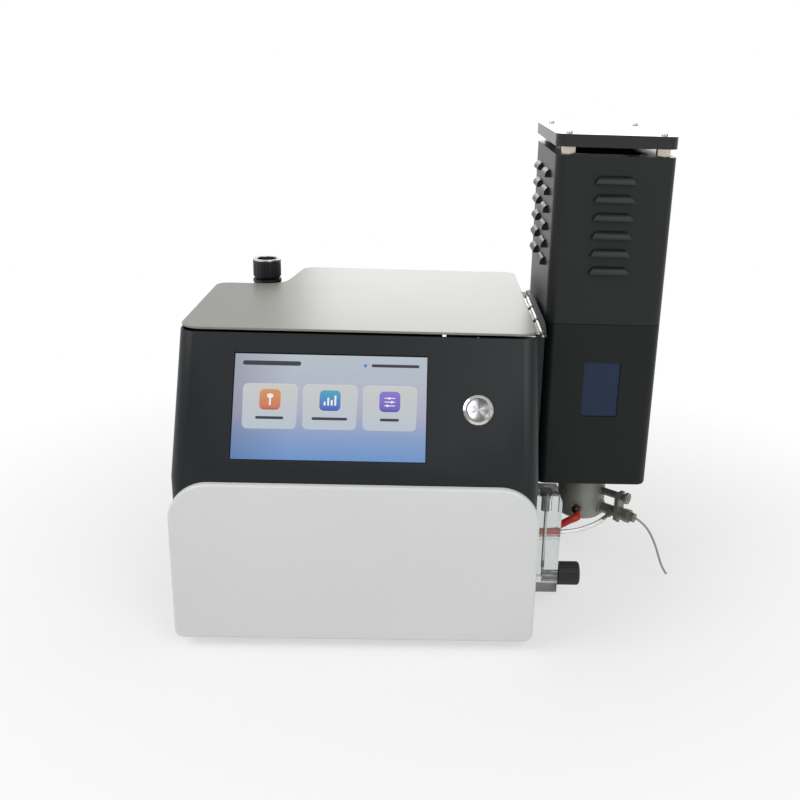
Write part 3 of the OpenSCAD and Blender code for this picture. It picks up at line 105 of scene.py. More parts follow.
def material(name, roughness, metallic=0.0, ior=1.5, coat=0.0, specular=0.5):
    """A new material with its shader and its object coordinates."""
    made = bpy.data.materials.new(name)
    made.use_nodes = True
    shader = made.node_tree.nodes["Principled BSDF"]
    shader.inputs["Roughness"].default_value = roughness
    shader.inputs["Metallic"].default_value = metallic
    shader.inputs["IOR"].default_value = ior
    shader.inputs["Specular IOR Level"].default_value = specular
    shader.inputs["Coat Weight"].default_value = coat
    shader.inputs["Coat Roughness"].default_value = 0.1
    place = add(made.node_tree, "ShaderNodeTexCoord").outputs["Object"]
    return made, made.node_tree, shader, place


def mottled(tree, shader, place, dark, light, size):
    """Colour that drifts between two tones over patches of that size in millimetres."""
    cloud = add(tree, "ShaderNodeTexNoise", {"Vector": place, "Scale": 1000 / size, "Detail": 3.0})
    tones = add(tree, "ShaderNodeMix",
                {"Factor": cloud.outputs["Fac"], 6: linear(dark), 7: linear(light)}, data_type="RGBA")
    tree.links.new(tones.outputs[2], shader.inputs["Base Color"])


def grained(tree, shader, place, grain, height, strength=1.0):
    """Relief of that grain and height in millimetres."""
    grit = add(tree, "ShaderNodeTexNoise", {"Vector": place, "Scale": 1000 / grain, "Detail": 2.0})
    relief = add(tree, "ShaderNodeBump",
                 {"Height": grit.outputs["Fac"], "Distance": height / 1000, "Strength": strength})
    tree.links.new(relief.outputs["Normal"], shader.inputs["Normal"])


def set_stops(ramp, stops):
    """Gives a colour ramp its stops, each a position and an sRGB hex colour."""
    while len(ramp.elements) < len(stops):
        ramp.elements.new(1.0)
    for stop, (where, colour) in zip(ramp.elements, stops):
        stop.position, stop.color = where, linear(colour)


def hose(name, points, diameter, finish, wall=0.0):
    """A tube on a smooth curve through its points, from its fitting on, hollow if it has a wall."""
    line = bpy.data.curves.new(name, "CURVE")
    line.dimensions = "3D"
    line.resolution_u = 6
    line.bevel_depth = diameter / 2000
    line.bevel_resolution = 6
    line.use_fill_caps = not wall
    run = line.splines.new("BEZIER")
    run.bezier_points.add(len(points) - 1)
    for knot, point in zip(run.bezier_points, points):
        knot.co = point
        knot.handle_left_type = knot.handle_right_type = "AUTO"
    tube = bpy.data.objects.new(name, line)
    scene.collection.objects.link(tube)
    line.materials.append(finish)
    if wall:
        bore = tube.modifiers.new("bore", "SOLIDIFY")
        bore.thickness, bore.offset = wall / 1000, -1
    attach(tube, "base")
    return tube


def sagging(start, end, bends):
    """Points by their share of the way from a start to an end, and the sag from it."""
    return [start + share * (end - start) + Vector(sag) for share, *sag in bends]


burner = Vector((206.6, 170, 59.5))
elbow_reach, elbow_rise, elbow_mouth = 27.8, 1.5, 6.6
barb_along, barb_reach, tip_along = 35.9, 17, 55.4
straight_start, straight_end, straight_tip = 3, 4, 6
gas_hose_d, air_hose_d, air_hose_wall, capillary_d = 7, 4.6, 0.9, 2
neb_turn, barb_droop, elbow_turn = (math.radians(a) for a in (40.5, 8, -107.6))
neb_way = Vector((math.cos(neb_turn), -math.sin(neb_turn), 0))
barb_side = Vector((neb_way.y, -neb_way.x, 0))
barb_way = barb_side * math.cos(barb_droop) - Vector((0, 0, math.sin(barb_droop)))
elbow_way = Vector((0.05, -0.97, -0.24)).normalized()
elbow_centre = burner + Vector((
    elbow_reach * math.cos(elbow_turn), elbow_reach * math.sin(elbow_turn), elbow_rise))
gas_start, gas_end = elbow_centre + elbow_mouth * elbow_way, Vector((159, 131, 49))
air_start, air_end = burner + barb_along * neb_way + barb_reach * barb_way, Vector((159, 118, 50))
tip_start = burner + tip_along * neb_way
gas_route = [gas_start, gas_start + straight_start * elbow_way, *sagging(gas_start, gas_end, [
    (0.03, 0.1, -4.6, -0.5), (0.1, -0.2, -5.6, -0.4), (0.2, -0.1, -5.2, -1), (0.3, -0.1, -4.5, -2.4),
    (0.41, -0.1, -3.7, -3.6), (0.54, -0.2, -2.8, -3.9), (0.71, 0, -1.8, -2.8)]),
    gas_end + Vector((straight_end, 0, 0)), gas_end]
air_route = [air_start, air_start + straight_start * barb_way, *sagging(air_start, air_end, [
    (0.08, -0.2, -3, -1), (0.15, -0.1, -4, -1.8), (0.25, 0, -5, -2.4), (0.35, 0.2, -6, -2.7),
    (0.44, -0.1, -6.5, -2.8), (0.54, 0.3, -6.3, -2.4), (0.64, 0, -5.4, -1.9), (0.77, 0.3, -3.6, -1.3)]),
    air_end + Vector((straight_end, 0, 0)), air_end]
sample_route = [tip_start, tip_start + straight_tip * neb_way, *(tip_start + Vector(b) for b in (
    (7, -5.2, -1.3), (10, -6, -3.5), (13.2, -6.6, -6.7), (16.4, -7.2, -10.7),
    (19.4, -7.8, -15.7), (22, -8.3, -20.9), (24.3, -8.8, -26.3), (26.4, -9.2, -32.1),
    (28.4, -9.6, -37.7), (30.4, -10.1, -43.1), (33, -10.7, -48.3), (36.2, -11.4, -53.1)))]

# Red silicone rubber, extruded: a soft sheen with slight streaks of tone
red_rubber, tree, shader, place = material("silicone rubber, extruded", 0.38, ior=1.43)
mottled(tree, shader, place, "#b3281a", "#cc3a28", 9)
gas_hose = hose("gas_hose_tube", [at(*p) for p in gas_route], gas_hose_d, red_rubber)
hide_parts("gas_hose")

# Clear soft PVC, extruded: water-clear, so the edges go dark and the core stays bright
clear_pvc, tree, shader, place = material("PVC tube, extruded", 0.06, ior=1.42)
shader.inputs["Transmission Weight"].default_value = 1.0
mottled(tree, shader, place, "#f2f5f0", "#ffffff", 12)
air_hose = hose("air_hose_tube", [at(*p) for p in air_route], air_hose_d, clear_pvc,
                air_hose_wall)
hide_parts("air_hose")

# Fluoropolymer capillary, drawn: milky grey with a waxy shine
capillary_polymer, tree, shader, place = material("PTFE tube, drawn", 0.3, ior=1.38)
mottled(tree, shader, place, "#8f8d86", "#b4b2aa", 6)
capillary = hose("sample_capillary_tube", [at(*p) for p in sample_route], capillary_d,
                 capillary_polymer)
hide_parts("sample_capillary")


# ---- Base tray, feet and their screws ----
# A steel tray closes the case from below and stands on four rubber feet, each held by a screw
# from underneath.
def cad_copy(name):
    """A merged copy of a CAD node, with its flat faces whole again."""
    work = bmesh.new()
    work.from_mesh(node[name].data)
    bmesh.ops.remove_doubles(work, verts=work.verts[:], dist=2e-6)
    bmesh.ops.dissolve_limit(work, angle_limit=math.radians(0.6), verts=work.verts[:],
                             edges=work.edges[:])
    return work


def soften(work, width, segments=2, angle=30, edges=None):
    """Rounds the edges sharper than an angle by a width in millimetres."""
    sharp = edges or [e for e in work.edges if e.is_manifold and e.calc_face_angle() > math.radians(angle)]
    bmesh.ops.bevel(work, geom=sharp, offset=width / 1000, offset_type="OFFSET", segments=segments,
                    profile=0.5, affect="EDGES", clamp_overlap=True, material=-1)


def piece(name, work, body, finish, stands_for=(), angle=32, outward=True):
    """Makes the piece from its bmesh, and sets its body and finish."""
    if outward:
        bmesh.ops.recalc_face_normals(work, faces=work.faces[:])
    mesh = bpy.data.meshes.new(name)
    work.to_mesh(mesh)
    work.free()
    mesh.shade_smooth()
    mesh.set_sharp_from_angle(angle=math.radians(angle))
    made = bpy.data.objects.new(name, mesh)
    scene.collection.objects.link(made)
    mesh.materials.append(finish)
    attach(made, body)
    if stands_for:
        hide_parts(*stands_for)
    return made


def dressed(name, body, finish, width=0.3, segments=2):
    """A CAD piece with rounded edges and smooth curves, in its finish."""
    work = cad_copy(name)
    if width:
        soften(work, width, segments)
    made = piece(name + "_finished", work, body, finish, [name], outward=False)
    made.modifiers.new("flat faces", "WEIGHTED_NORMAL").keep_sharp = True
    return made


# Dark powder coat on steel: a fine orange peel, drawn a little coarse so that it shows
dark_coat, tree, shader, place = material("powder coat on steel, dark grey", 0.42, specular=0.3)
mottled(tree, shader, place, "#1b1f22", "#202427", 60)
grained(tree, shader, place, 0.9, 0.02, 0.5)
dressed("base_tray", "base", dark_coat, 0.3)

# Moulded rubber: black and dull
foot_rubber, tree, shader, place = material("EPDM rubber, moulded", 0.75)
mottled(tree, shader, place, "#141414", "#1d1d1c", 5)
grained(tree, shader, place, 0.6, 0.03)
dressed("feet", "base", foot_rubber, 0.8, 3)

# Zinc-plated steel: pale and slightly blue, with a fine matt grain
zinc_plate, tree, shader, place = material("zinc-plated steel, barrel plated", 0.32, 1.0)
mottled(tree, shader, place, "#b9b9b4", "#d2d1cb", 4)
grained(tree, shader, place, 0.5, 0.01, 0.6)
dressed("foot_screws", "base", zinc_plate, 0.3)

# ---- Housing and rear panel ----
# Two folded steel shells, powder-coated dark grey: the housing with its sloping front, and the
# rear panel that wraps round the recess for the regulator.
dressed("housing", "base", dark_coat, 0.4)
dressed("rear_panel", "base", dark_coat, 0.4)

# ---- Front cover ----
# A shallow pressed cover over the lower half of the front, with wide upper corners and a soft
# rounded rim, painted white.
white_paint, tree, shader, place = material("polyester paint, white satin", 0.34, coat=0.15)
mottled(tree, shader, place, "#dadcdb", "#dfe0df", 90)
grained(tree, shader, place, 1.6, 0.01, 0.4)
work = bmesh.new()
cover_half, cover_foot, cover_top, cover_depth = 146, 8, 144.4, 5.6
foot_radius, crown_radius, rim_radius = 7, 32, 2.6
corners = [work.verts.new(at(x * cover_half, cover_depth, z))
           for x, z in ((-1, cover_foot), (1, cover_foot), (1, cover_top), (-1, cover_top))]
work.faces.new(corners)
bmesh.ops.bevel(work, geom=corners[:2], offset=foot_radius / 1000, segments=8, profile=0.5,
                affect="VERTICES", material=-1)
crown = [v for v in work.verts if v.co.z > at(0, 0, (cover_foot + cover_top) / 2).z]
bmesh.ops.bevel(work, geom=crown, offset=crown_radius / 1000, segments=20, profile=0.5,
                affect="VERTICES", material=-1)
pressed = bmesh.ops.extrude_face_region(work, geom=work.faces[:])
front_verts = [v for v in pressed["geom"] if isinstance(v, bmesh.types.BMVert)]
bmesh.ops.translate(work, verts=front_verts, vec=(0, -cover_depth / 1000, 0))
rim = [e for e in work.edges if all(v in front_verts for v in e.verts)]
soften(work, rim_radius, 6, edges=rim)
piece("front_cover_shell", work, "base", white_paint, ["front_cover"])

# ---- Top cover and its hinge ----
# A flat steel cover, coated silver grey, which lifts on a piano hinge along the right side: a
# silver leaf under the cover, a dark leaf on the plate that carries the tower.
silver_coat, tree, shader, place = material("powder coat on steel, silver grey satin", 0.33)
mottled(tree, shader, place, "#83837b", "#8b8b83", 60)
grained(tree, shader, place, 0.8, 0.008, 0.4)
dressed("top_cover", "cover", silver_coat, 0.5, 3)

# Bare aluminium, rolled: pale, with a fine matt grain
satin_metal, tree, shader, place = material("aluminium, rolled", 0.36, 1.0)
mottled(tree, shader, place, "#b9b8b1", "#cfcec8", 12)
grained(tree, shader, place, 0.8, 0.012, 0.6)
dressed("hinge_leaf_moving", "cover", satin_metal, 0.2)
dressed("hinge_pin", "base", satin_metal, 0.2)
dressed("hinge_leaf_fixed", "base", dark_coat, 0.2)

# ---- Touch screen ----
# A 7 inch touch display behind a window in the sloping panel. The picture is a plain menu of
# three tiles on a pale blue ground, lit from behind; bars stand where words would be.
panel_tilt = math.radians(28.5)
slope = Vector((0, math.sin(panel_tilt), math.cos(panel_tilt)))
outward = Vector((0, -math.cos(panel_tilt), math.sin(panel_tilt)))
panel_row, screen_x, screen_w, screen_h = 60.8, -21.8, 154.1, 85.9


def on_panel(x, y, z=0.0):
    """A place on the sloping panel: across, up the slope and out of it."""
    return at(x, cover_depth, cover_top) + (slope * y + outward * z) / 1000


def glowing(name, stops, across=None):
    """Light from the display: a ramp of tones from the foot of the piece to its head."""
    made, tree, shader, place = material(name, 0.12)
    shader.inputs["Base Color"].default_value = (0.004, 0.004, 0.005, 1)
    chart = add(tree, "ShaderNodeSeparateXYZ", {0: add(tree, "ShaderNodeUVMap").outputs[0]})
    ramp = add(tree, "ShaderNodeValToRGB", {"Fac": chart.outputs["Y"]})
    set_stops(ramp.color_ramp, stops)
    light = ramp.outputs["Color"]
    if across:
        side = add(tree, "ShaderNodeValToRGB", {"Fac": chart.outputs["X"]})
        near_tone, far_tone, far_place = across
        set_stops(side.color_ramp, [(0.0, near_tone), (far_place, far_tone)])
        light = add(tree, "ShaderNodeMix", {"Factor": 1.0, 6: light, 7: side.outputs["Color"]},
                    data_type="RGBA", blend_type="MULTIPLY").outputs[2]
    tree.links.new(light, shader.inputs["Emission Color"])
    shader.inputs["Emission Strength"].default_value = 0.92
    return made


def tile(name, x, y, width, height, lift, finish, radius=0.0, thick=0.06):
    """A thin plate of the picture, from its middle on the panel, with rounded corners."""
    work = bmesh.new()
    corners = [work.verts.new(on_panel(x + i * width / 2, y + j * height / 2, lift))
               for i, j in ((-1, -1), (1, -1), (1, 1), (-1, 1))]
    work.faces.new(corners)
    if radius:
        bmesh.ops.bevel(work, geom=corners, offset=radius / 1000, segments=6, profile=0.5,
                        affect="VERTICES", material=-1)
    raised = bmesh.ops.extrude_face_region(work, geom=work.faces[:])["geom"]
    raised_verts = [v for v in raised if isinstance(v, bmesh.types.BMVert)]
    bmesh.ops.translate(work, verts=raised_verts, vec=outward * thick / 1000)
    chart = work.loops.layers.uv.new("chart")
    middle = on_panel(x, y)
    for face in work.faces:
        for loop in face.loops:
            offset = (loop.vert.co - middle) * 1000
            loop[chart].uv = (offset.x / width + 0.5, offset.dot(slope) / height + 0.5)
    piece(name, work, "base", finish)


# Glass with a black printed rim: deep black and polished
black_glass, tree, shader, place = material("float glass, printed black", 0.08)
mottled(tree, shader, place, "#050607", "#0a0b0d", 30)
dressed("touch_glass", "base", black_glass, 0)
dressed("display_module", "base", black_glass, 0.3)
ground = glowing("display picture, pale ground", [
    (0.0, "#6f97cc"), (0.22, "#8ba2cc"), (0.45, "#b3b0c6"), (0.7, "#b7bccb"), (1.0, "#b9c4cd")],
    ("#dcdce0", "#ffffff", 0.3))
card = glowing("display picture, tile", [(0.0, "#bcc8d4"), (1.0, "#cdcdcb")])
card_rim = glowing("display picture, tile's rim", [(0.0, "#9aa6bc"), (1.0, "#dcdfe0")])
ink = glowing("display picture, dark bars", [(0.0, "#3c4048"), (1.0, "#3c4048")])
white_ink = glowing("display picture, white marks", [(0.0, "#f4f2f0"), (1.0, "#f4f2f0")])
orange = glowing("display picture, orange", [(0.0, "#b65a48"), (0.14, "#cf7c60"), (1.0, "#d79a5e")])
azure = glowing("display picture, azure", [(0.0, "#4854a0"), (0.14, "#5670c4"), (1.0, "#52a9c6")])
violet = glowing("display picture, violet", [(0.0, "#5a4a9c"), (0.14, "#7868c2"), (1.0, "#8d7cd4")])
screen_low = panel_row - screen_h / 2
picture_margin = 1.6
tile("screen_picture", screen_x, panel_row, screen_w - picture_margin, screen_h - picture_margin,
     -1.95, ground)
tile("screen_title_bar", screen_x - screen_w / 2 + 30, screen_low + 77.8, 46, 3.6, -1.88, ink, 1.7, 0.02)
tile("screen_clock_bar", screen_x + screen_w / 2 - 26, screen_low + 77.4, 38, 2.4, -1.88, ink, 1.1, 0.02)
tile("screen_status_dot", screen_x + screen_w / 2 - 50, screen_low + 77.4, 2.6, 2.6, -1.88, azure, 1.2, 0.02)
for i, colours in enumerate((orange, azure, violet)):
    x = screen_x - screen_w / 2 + 29.7 + 47.3 * i
    y = screen_low + 42.9
    tile(f"screen_tile_rim_{i}", x, y, 43, 36.6, -1.89, card_rim, 4.4, 0.02)
    tile(f"screen_tile_{i}", x, y + 0.1, 42.2, 35.6, -1.87, card, 4, 0.02)
    tile(f"screen_icon_{i}", x, y + 5.6, 16.6, 16.4, -1.85, colours, 3.6, 0.04)
    tile(f"screen_label_{i}", x, y - 9, (22, 28, 15)[i], 2.2, -1.85, ink, 1, 0.02)
    if i == 0:
        tile("screen_mark_stem", x, y + 4.4, 1.4, 7, -1.8, white_ink, 0.6, 0.02)
        tile("screen_mark_ring", x, y + 8.6, 5, 3.4, -1.8, white_ink, 1.6, 0.02)
    elif i == 1:
        for k, h in enumerate((3.2, 6.4, 4.6, 8.2)):
            tile(f"screen_mark_column_{k}", x - 4.2 + 2.8 * k, y + 1.6 + h / 2, 1.5, h, -1.8,
                 white_ink, 0.5, 0.02)
    else:
        for k, shift in enumerate((-1.8, 1.6, -0.4)):
            tile(f"screen_mark_rail_{k}", x, y + 2.4 + 3 * k, 8.6, 0.7, -1.8, white_ink, 0.3, 0.02)
            tile(f"screen_mark_slider_{k}", x + shift, y + 2.4 + 3 * k, 1.9, 1.9, -1.77,
                 white_ink, 0.8, 0.02)


# ---- Ignition button ----
# A 22 mm panel push button of turned stainless steel: a chamfered bezel, and a cap with a
# spun face that returns by itself.
def facing(x, y, z, way):
    """The place of a turned piece: its foot at a point and its axis along a way."""
    return Matrix.Translation(at(x, y, z)) @ Vector(way).to_track_quat("Z", "Y").to_matrix().to_4x4()


def turned(work, outline, place, steps=48):
    """Spins an outline of (radius, height) in millimetres round the axis of its place."""
    points = [work.verts.new(place @ Vector((r / 1000, 0, h / 1000))) for r, h in outline]
    edges = [work.edges.new(pair) for pair in zip(points, points[1:])]
    bmesh.ops.spin(work, geom=points + edges, cent=place.translation, axis=place.to_3x3().col[2],
                   angle=2 * math.pi, steps=steps, use_merge=True)
    bmesh.ops.remove_doubles(work, verts=work.verts[:], dist=1e-6)


# Turned stainless steel: bright, with fine rings from the lathe
turned_steel, tree, shader, place = material("stainless steel, turned", 0.2, 1.0)
mottled(tree, shader, place, "#c9c8c2", "#e0dfda", 3)
grained(tree, shader, place, 0.4, 0.006, 0.5)
button_x = 95.6
button_turn = outward.to_track_quat("Z", "Y")
button_place = Matrix.Translation(on_panel(button_x, panel_row)) @ button_turn.to_matrix().to_4x4()
work = bmesh.new()
turned(work, [(9.06, -6), (9.06, 1.5), (9.5, 2.2), (10.4, 2.2), (12, 1.5), (12.5, 0.6), (12.5, 0),
              (10.9, 0), (10.9, -24), (6, -24), (6, -16), (9.06, -8.3), (9.06, -6)], button_place, 64)
piece("button_bezel", work, "base", turned_steel, ["button_body"], angle=20)
work = bmesh.new()
turned(work, [(0, 2.35), (4.5, 2.42), (8.2, 2.6), (8.7, 2.8), (9, 2.5), (9, -5), (2, -5),
              (2, -13), (0, -13)], button_place, 64)

# Stainless steel with a spun face: bright and dark sectors painted into its colour, painted highlights and
# painted reflections that stand in for the light its fine rings throw
spun_steel_painted_glints, tree, shader, place = material("stainless steel, spun face, painted highlights", 0.3, 1.0)
centred = add(tree, "ShaderNodeMapping",
              {"Vector": place, "Location": button_place.translation, "Rotation": button_turn.to_euler()},
              vector_type="TEXTURE")
sweep = add(tree, "ShaderNodeTexGradient", {"Vector": centred.outputs[0]}, gradient_type="RADIAL")
painted_highlight_sectors = add(tree, "ShaderNodeValToRGB", {"Fac": sweep.outputs["Fac"]})
set_stops(painted_highlight_sectors.color_ramp, [
    (0.0, "#d8dbdf"), (0.06, "#9a9aa0"), (0.14, "#e8ebef"), (0.22, "#a7a69f"), (0.33, "#8d8c84"),
    (0.4, "#e4e6e8"), (0.47, "#a9aaa6"), (0.55, "#eef1f4"), (0.64, "#94959a"), (0.74, "#86878a"),
    (0.82, "#dfe3ea"), (0.92, "#b4b7c0"), (1.0, "#d8dbdf")])
tree.links.new(painted_highlight_sectors.outputs["Color"], shader.inputs["Base Color"])
piece("button_cap_face", work, "button", spun_steel_painted_glints, ["button_cap"], angle=20)

# ---- Parts inside the case ----
# Board, power supply, gas valve, ignition coil and the detector with its lens: seen only with
# the cover open, each in its own plain finish.
green_board, tree, shader, place = material("circuit board, solder resist", 0.3)
mottled(tree, shader, place, "#14401f", "#1d5a2c", 6)
black_anodised, tree, shader, place = material("aluminium, anodised black", 0.4, 0.6)
mottled(tree, shader, place, "#17181a", "#212224", 12)
grained(tree, shader, place, 0.7, 0.01, 0.5)
brass, tree, shader, place = material("brass, turned", 0.26, 1.0)
mottled(tree, shader, place, "#b08d4c", "#caa763", 5)
black_plastic, tree, shader, place = material("nylon, moulded black", 0.48)
mottled(tree, shader, place, "#131416", "#1b1d1f", 10)
grained(tree, shader, place, 0.6, 0.012, 0.6)
lens_glass, tree, shader, place = material("optical glass, polished", 0.02, ior=1.52)
shader.inputs["Transmission Weight"].default_value = 1.0
mottled(tree, shader, place, "#f4fbfb", "#ffffff", 20)
filter_glass, tree, shader, place = material("filter glass, coated", 0.05, ior=1.52)
shader.inputs["Transmission Weight"].default_value = 0.6
mottled(tree, shader, place, "#c9702a", "#d98a3a", 8)
for name, finish, slot in (
        ("control_board", green_board, "circuit_board"), ("detector_board", green_board, "circuit_board"),
        ("power_supply", zinc_plate, "zinc_cage"), ("gas_valve", brass, "brass_fittings"),
        ("ignition_coil", black_plastic, "black_plastic"),
        ("detector_block", black_anodised, "black_anodised"),
        ("lens_tube", black_anodised, "black_anodised"), ("lens", lens_glass, "optical_glass"),
        ("optical_filters", filter_glass, "filter_glass")):
    dressed(name, "base", finish, 0.3)

# ---- Burner tower ----
# Two folded sheet-metal boxes, powder-coated black with a fine texture, on a plate beside the
# case. The upper box is pressed with louvres; the lower one has the window to watch the flame.
tower_coat, tree, shader, place = material("powder coat on steel, black satin", 0.4, specular=0.3)
mottled(tree, shader, place, "#181a1b", "#1d1f20", 70)
grained(tree, shader, place, 0.8, 0.012, 0.5)
dressed("mount_plate", "base", dark_coat, 0.4)

# The same coat drawn in a darker tone on the lower box: painted shade, for the shade that the case casts on
# it
lower_box_painted_shade_coat, tree, shader, place = material("powder coat on steel, black satin, lower box", 0.4, specular=0.25)
mottled(tree, shader, place, "#101314", "#141718", 70)
grained(tree, shader, place, 0.8, 0.012, 0.5)
dressed("tower_lower", "base", lower_box_painted_shade_coat, 0.35)
dressed("tower_upper", "base", tower_coat, 0.35)

# Filter glass of the window: dark blue, polished
window_blue, tree, shader, place = material("filter glass, blue", 0.05, ior=1.52, specular=0.25)
mottled(tree, shader, place, "#0f2440", "#143050", 25)
dressed("window_glass", "base", window_blue, 0.2)
dressed("window_frame", "base", black_anodised, 0.2)

# Stainless sheet of the chimney, rolled: grey with heat tint
heat_steel, tree, shader, place = material("stainless steel, rolled and heat tinted", 0.38, 1.0)
mottled(tree, shader, place, "#8f877a", "#b3ada2", 30)
dressed("inner_chimney", "base", heat_steel, 0)

# ---- Lid, standoffs and screws ----
# A folded lid in the tower's own coat stands on four hexagonal nickel-plated spacers and is held
# by button-head screws. Its flat top mirrors the bright room behind it.
lid_coat, tree, shader, place = material("powder coat on steel, black satin, lid", 0.26, specular=0.4)
mottled(tree, shader, place, "#1f2122", "#242627", 50)
dressed("tower_lid", "base", lid_coat, 0.5, 3)
nickel, tree, shader, place = material("nickel plate on brass", 0.22, 1.0)
mottled(tree, shader, place, "#c9bfae", "#e2dacb", 5)
dressed("lid_standoffs", "base", nickel, 0.4)
dressed("lid_screws", "base", zinc_plate, 0.4, 3)

# ---- Burner and mixing chamber ----
# A grey cast chamber hangs under the tower; its neck carries the steel burner head, with a
# ceramic igniter beside it and a brass drain spigot behind.
cast_metal, tree, shader, place = material("aluminium, cast and blasted", 0.55, 0.45)
mottled(tree, shader, place, "#8d8f8b", "#9b9d98", 14)
grained(tree, shader, place, 1.0, 0.02, 0.7)
ceramic, tree, shader, place = material("alumina ceramic, glazed", 0.2)
mottled(tree, shader, place, "#e8e2d4", "#f3eee3", 8)
dressed("mixing_chamber", "base", cast_metal, 0.5, 3)
dressed("burner_head", "base", heat_steel, 0.4)
dressed("igniter", "base", ceramic, 0)
dressed("drain_fitting", "base", brass, 0.3)

# ---- Nebulizer ----
# Dull steel parts in line with the chamber's socket: body with its air barb, yoke, clamp
# stud and knob, and the lock nut that holds the capillary.
dark_steel, tree, shader, place = material("steel, chemically dulled", 0.36, 0.5)
mottled(tree, shader, place, "#74726b", "#8c8a82", 4)
grained(tree, shader, place, 0.5, 0.01, 0.6)
bronze, tree, shader, place = material("bronze, turned and aged", 0.4, 0.9)
mottled(tree, shader, place, "#54483a", "#6f5a40", 4)
for name, body in (("nebulizer_body", "base"), ("nebulizer_yoke", "base"), ("clamp_stud", "base"),
                   ("nebulizer_nut", "lock_nut")):
    dressed(name, body, dark_steel, 0.3)
dressed("clamp_knob", "clamp", dark_steel, 0.3)
dressed("gas_elbow", "base", bronze, 0)
dressed("hose_fittings", "base", brass, 0.3)

# ---- Flowmeter ----
# An acrylic block on the side wall, polished where it is seen and left matt at its back and foot,
# with a float in its bore, a plug on top and a needle valve with a fluted black knob.
matt_acrylic, tree, shader, place = material("acrylic, sawn", 0.5, ior=1.49)
shader.inputs["Transmission Weight"].default_value = 0.35
mottled(tree, shader, place, "#a4a8a4", "#b4b8b4", 25)
grained(tree, shader, place, 0.5, 0.03)
acrylic, tree, shader, place = material("acrylic, milled and polished", 0.04, ior=1.49)
shader.inputs["Transmission Weight"].default_value = 0.94
mottled(tree, shader, place, "#e4e9e8", "#f2f5f5", 25)
block = dressed("flowmeter_body", "base", acrylic, 0.3)
block.data.materials.append(matt_acrylic)
for face in block.data.polygons:
    if face.normal.z < -0.9 or face.normal.x < -0.9:
        face.material_index = 1
dressed("flowmeter_float", "float", black_plastic, 0.2)
dressed("flowmeter_fittings", "base", dark_steel, 0.3)
dressed("valve_stem", "valve", turned_steel, 0.2)
dressed("valve_knob", "valve", black_plastic, 0.25)

# ---- Regulator ----
# The air regulator stands in the recess behind the case: die-cast body, black bonnet, clear
# bowl, and a fluted knob with a bright ring that shows above the case.
clear_bowl, tree, shader, place = material("polycarbonate, moulded clear", 0.08, ior=1.58)
shader.inputs["Transmission Weight"].default_value = 0.85
mottled(tree, shader, place, "#e4e9ea", "#f4f7f7", 25)
dressed("regulator_body", "base", cast_metal, 1.0, 3)
dressed("regulator_bonnet", "base", black_plastic, 0.5)
dressed("regulator_bowl", "base", clear_bowl, 0.8, 3)
dressed("regulator_knob", "regulator", black_plastic, 0.25)
dressed("regulator_ring", "regulator", turned_steel, 0.3)

# ---- Rear fittings ----
# Mains inlet with its rocker switch, and the fan behind its slots.
dressed("power_inlet", "base", black_plastic, 0.3)
dressed("rocker_switch", "rocker", black_plastic, 0.3)
dressed("fan_frame", "base", black_plastic, 0.3)
dressed("fan_rotor", "rotor", black_plastic, 0.2)


# ---- Studio ----
# A white floor that keeps the object's soft shadow and fades into a white room. Wide soft lamps
# stand over both shoulders, and a long one far behind shines along the flat tops.
def seen_or_mirrored(tree):
    """1 for rays that show the background: from the camera, in gloss and through glass."""
    rays = add(tree, "ShaderNodeLightPath")
    both = add(tree, "ShaderNodeMath",
               {0: rays.outputs["Is Camera Ray"], 1: rays.outputs["Is Glossy Ray"]}, operation="MAXIMUM")
    return add(tree, "ShaderNodeMath",
               {0: both.outputs[0], 1: rays.outputs["Is Transmission Ray"]}, operation="MAXIMUM").outputs[0]


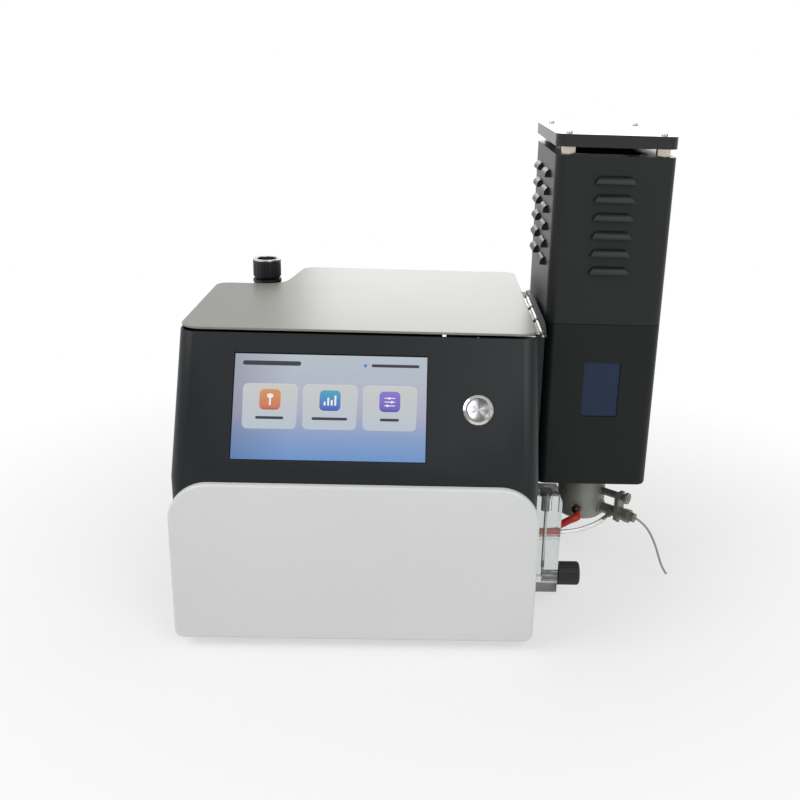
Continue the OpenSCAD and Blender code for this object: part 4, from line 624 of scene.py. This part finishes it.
work = bmesh.new()
bmesh.ops.create_circle(work, cap_ends=True, segments=64, radius=6)
bmesh.ops.translate(work, verts=work.verts[:], vec=(0, 0, -0.0005))
mesh = bpy.data.meshes.new("floor")
work.to_mesh(mesh)
work.free()
floor = bpy.data.objects.new("floor", mesh)
scene.collection.objects.link(floor)
paper, tree, shader, place = material("paper, white seamless", 0.9)
shader.inputs["Base Color"].default_value = (0.86, 0.86, 0.86, 1)
shader.inputs["Specular IOR Level"].default_value = 0.1
distance = add(tree, "ShaderNodeVectorMath", {0: place}, operation="LENGTH")
fade = add(tree, "ShaderNodeMapRange", {
    "Value": distance.outputs["Value"], "From Min": 0.22, "From Max": 0.6, "To Min": 0.6, "To Max": 1.0})
share = add(tree, "ShaderNodeMath", {0: fade.outputs[0], 1: seen_or_mirrored(tree)}, operation="MULTIPLY")
glow = add(tree, "ShaderNodeEmission", {"Color": (1, 1, 1, 1), "Strength": 1.0})
mixed = add(tree, "ShaderNodeMixShader", {0: share.outputs[0], 1: shader.outputs[0], 2: glow.outputs[0]})
tree.links.new(mixed.outputs[0], tree.nodes["Material Output"].inputs["Surface"])
mesh.materials.append(paper)

world = bpy.data.worlds.new("room")
scene.world = world
world.use_nodes = True
tree = world.node_tree
way = add(tree, "ShaderNodeSeparateXYZ", {0: add(tree, "ShaderNodeTexCoord").outputs["Generated"]})
dim_room = 0.35
room = add(tree, "ShaderNodeMapRange", {
    "Value": way.outputs["Y"], "From Min": -0.5, "From Max": 0.5, "To Min": dim_room, "To Max": 1.0})
rays = add(tree, "ShaderNodeLightPath")
mirrored = add(tree, "ShaderNodeMath",
               {0: rays.outputs["Is Glossy Ray"], 1: room.outputs[0]}, operation="MULTIPLY")
shown = add(tree, "ShaderNodeMath",
            {0: rays.outputs["Is Camera Ray"], 1: rays.outputs["Is Transmission Ray"]}, operation="MAXIMUM")
either = add(tree, "ShaderNodeMath", {0: mirrored.outputs[0], 1: shown.outputs[0]}, operation="MAXIMUM")
strength = add(tree, "ShaderNodeMath", {0: either.outputs[0], 1: dim_room}, operation="MAXIMUM")
tree.links.new(strength.outputs[0], tree.nodes["Background"].inputs["Strength"])
tree.nodes["Background"].inputs["Color"].default_value = (1, 1, 1, 1)


def lamp(name, place, target, width, height, watts):
    """A softbox at a place in millimetres, turned to its target and kept out of the picture."""
    light = bpy.data.lights.new(name, "AREA")
    light.shape = "RECTANGLE"
    light.size, light.size_y, light.energy = width, height, watts
    made = bpy.data.objects.new(name, light)
    scene.collection.objects.link(made)
    made.matrix_world = facing(*place, at(*place) - at(*target))
    made.visible_camera = False


case_middle = (60, 120, 150)
lamp("softbox_left", (-1150, -450, 1500), case_middle, 1.1, 1.1, 14.5)
lamp("softbox_right", (750, -1000, 1000), case_middle, 0.9, 0.9, 8.5)
lamp("back_light", (240, 1500, 600), (240, 100, 600), 0.92, 0.34, 3.2)
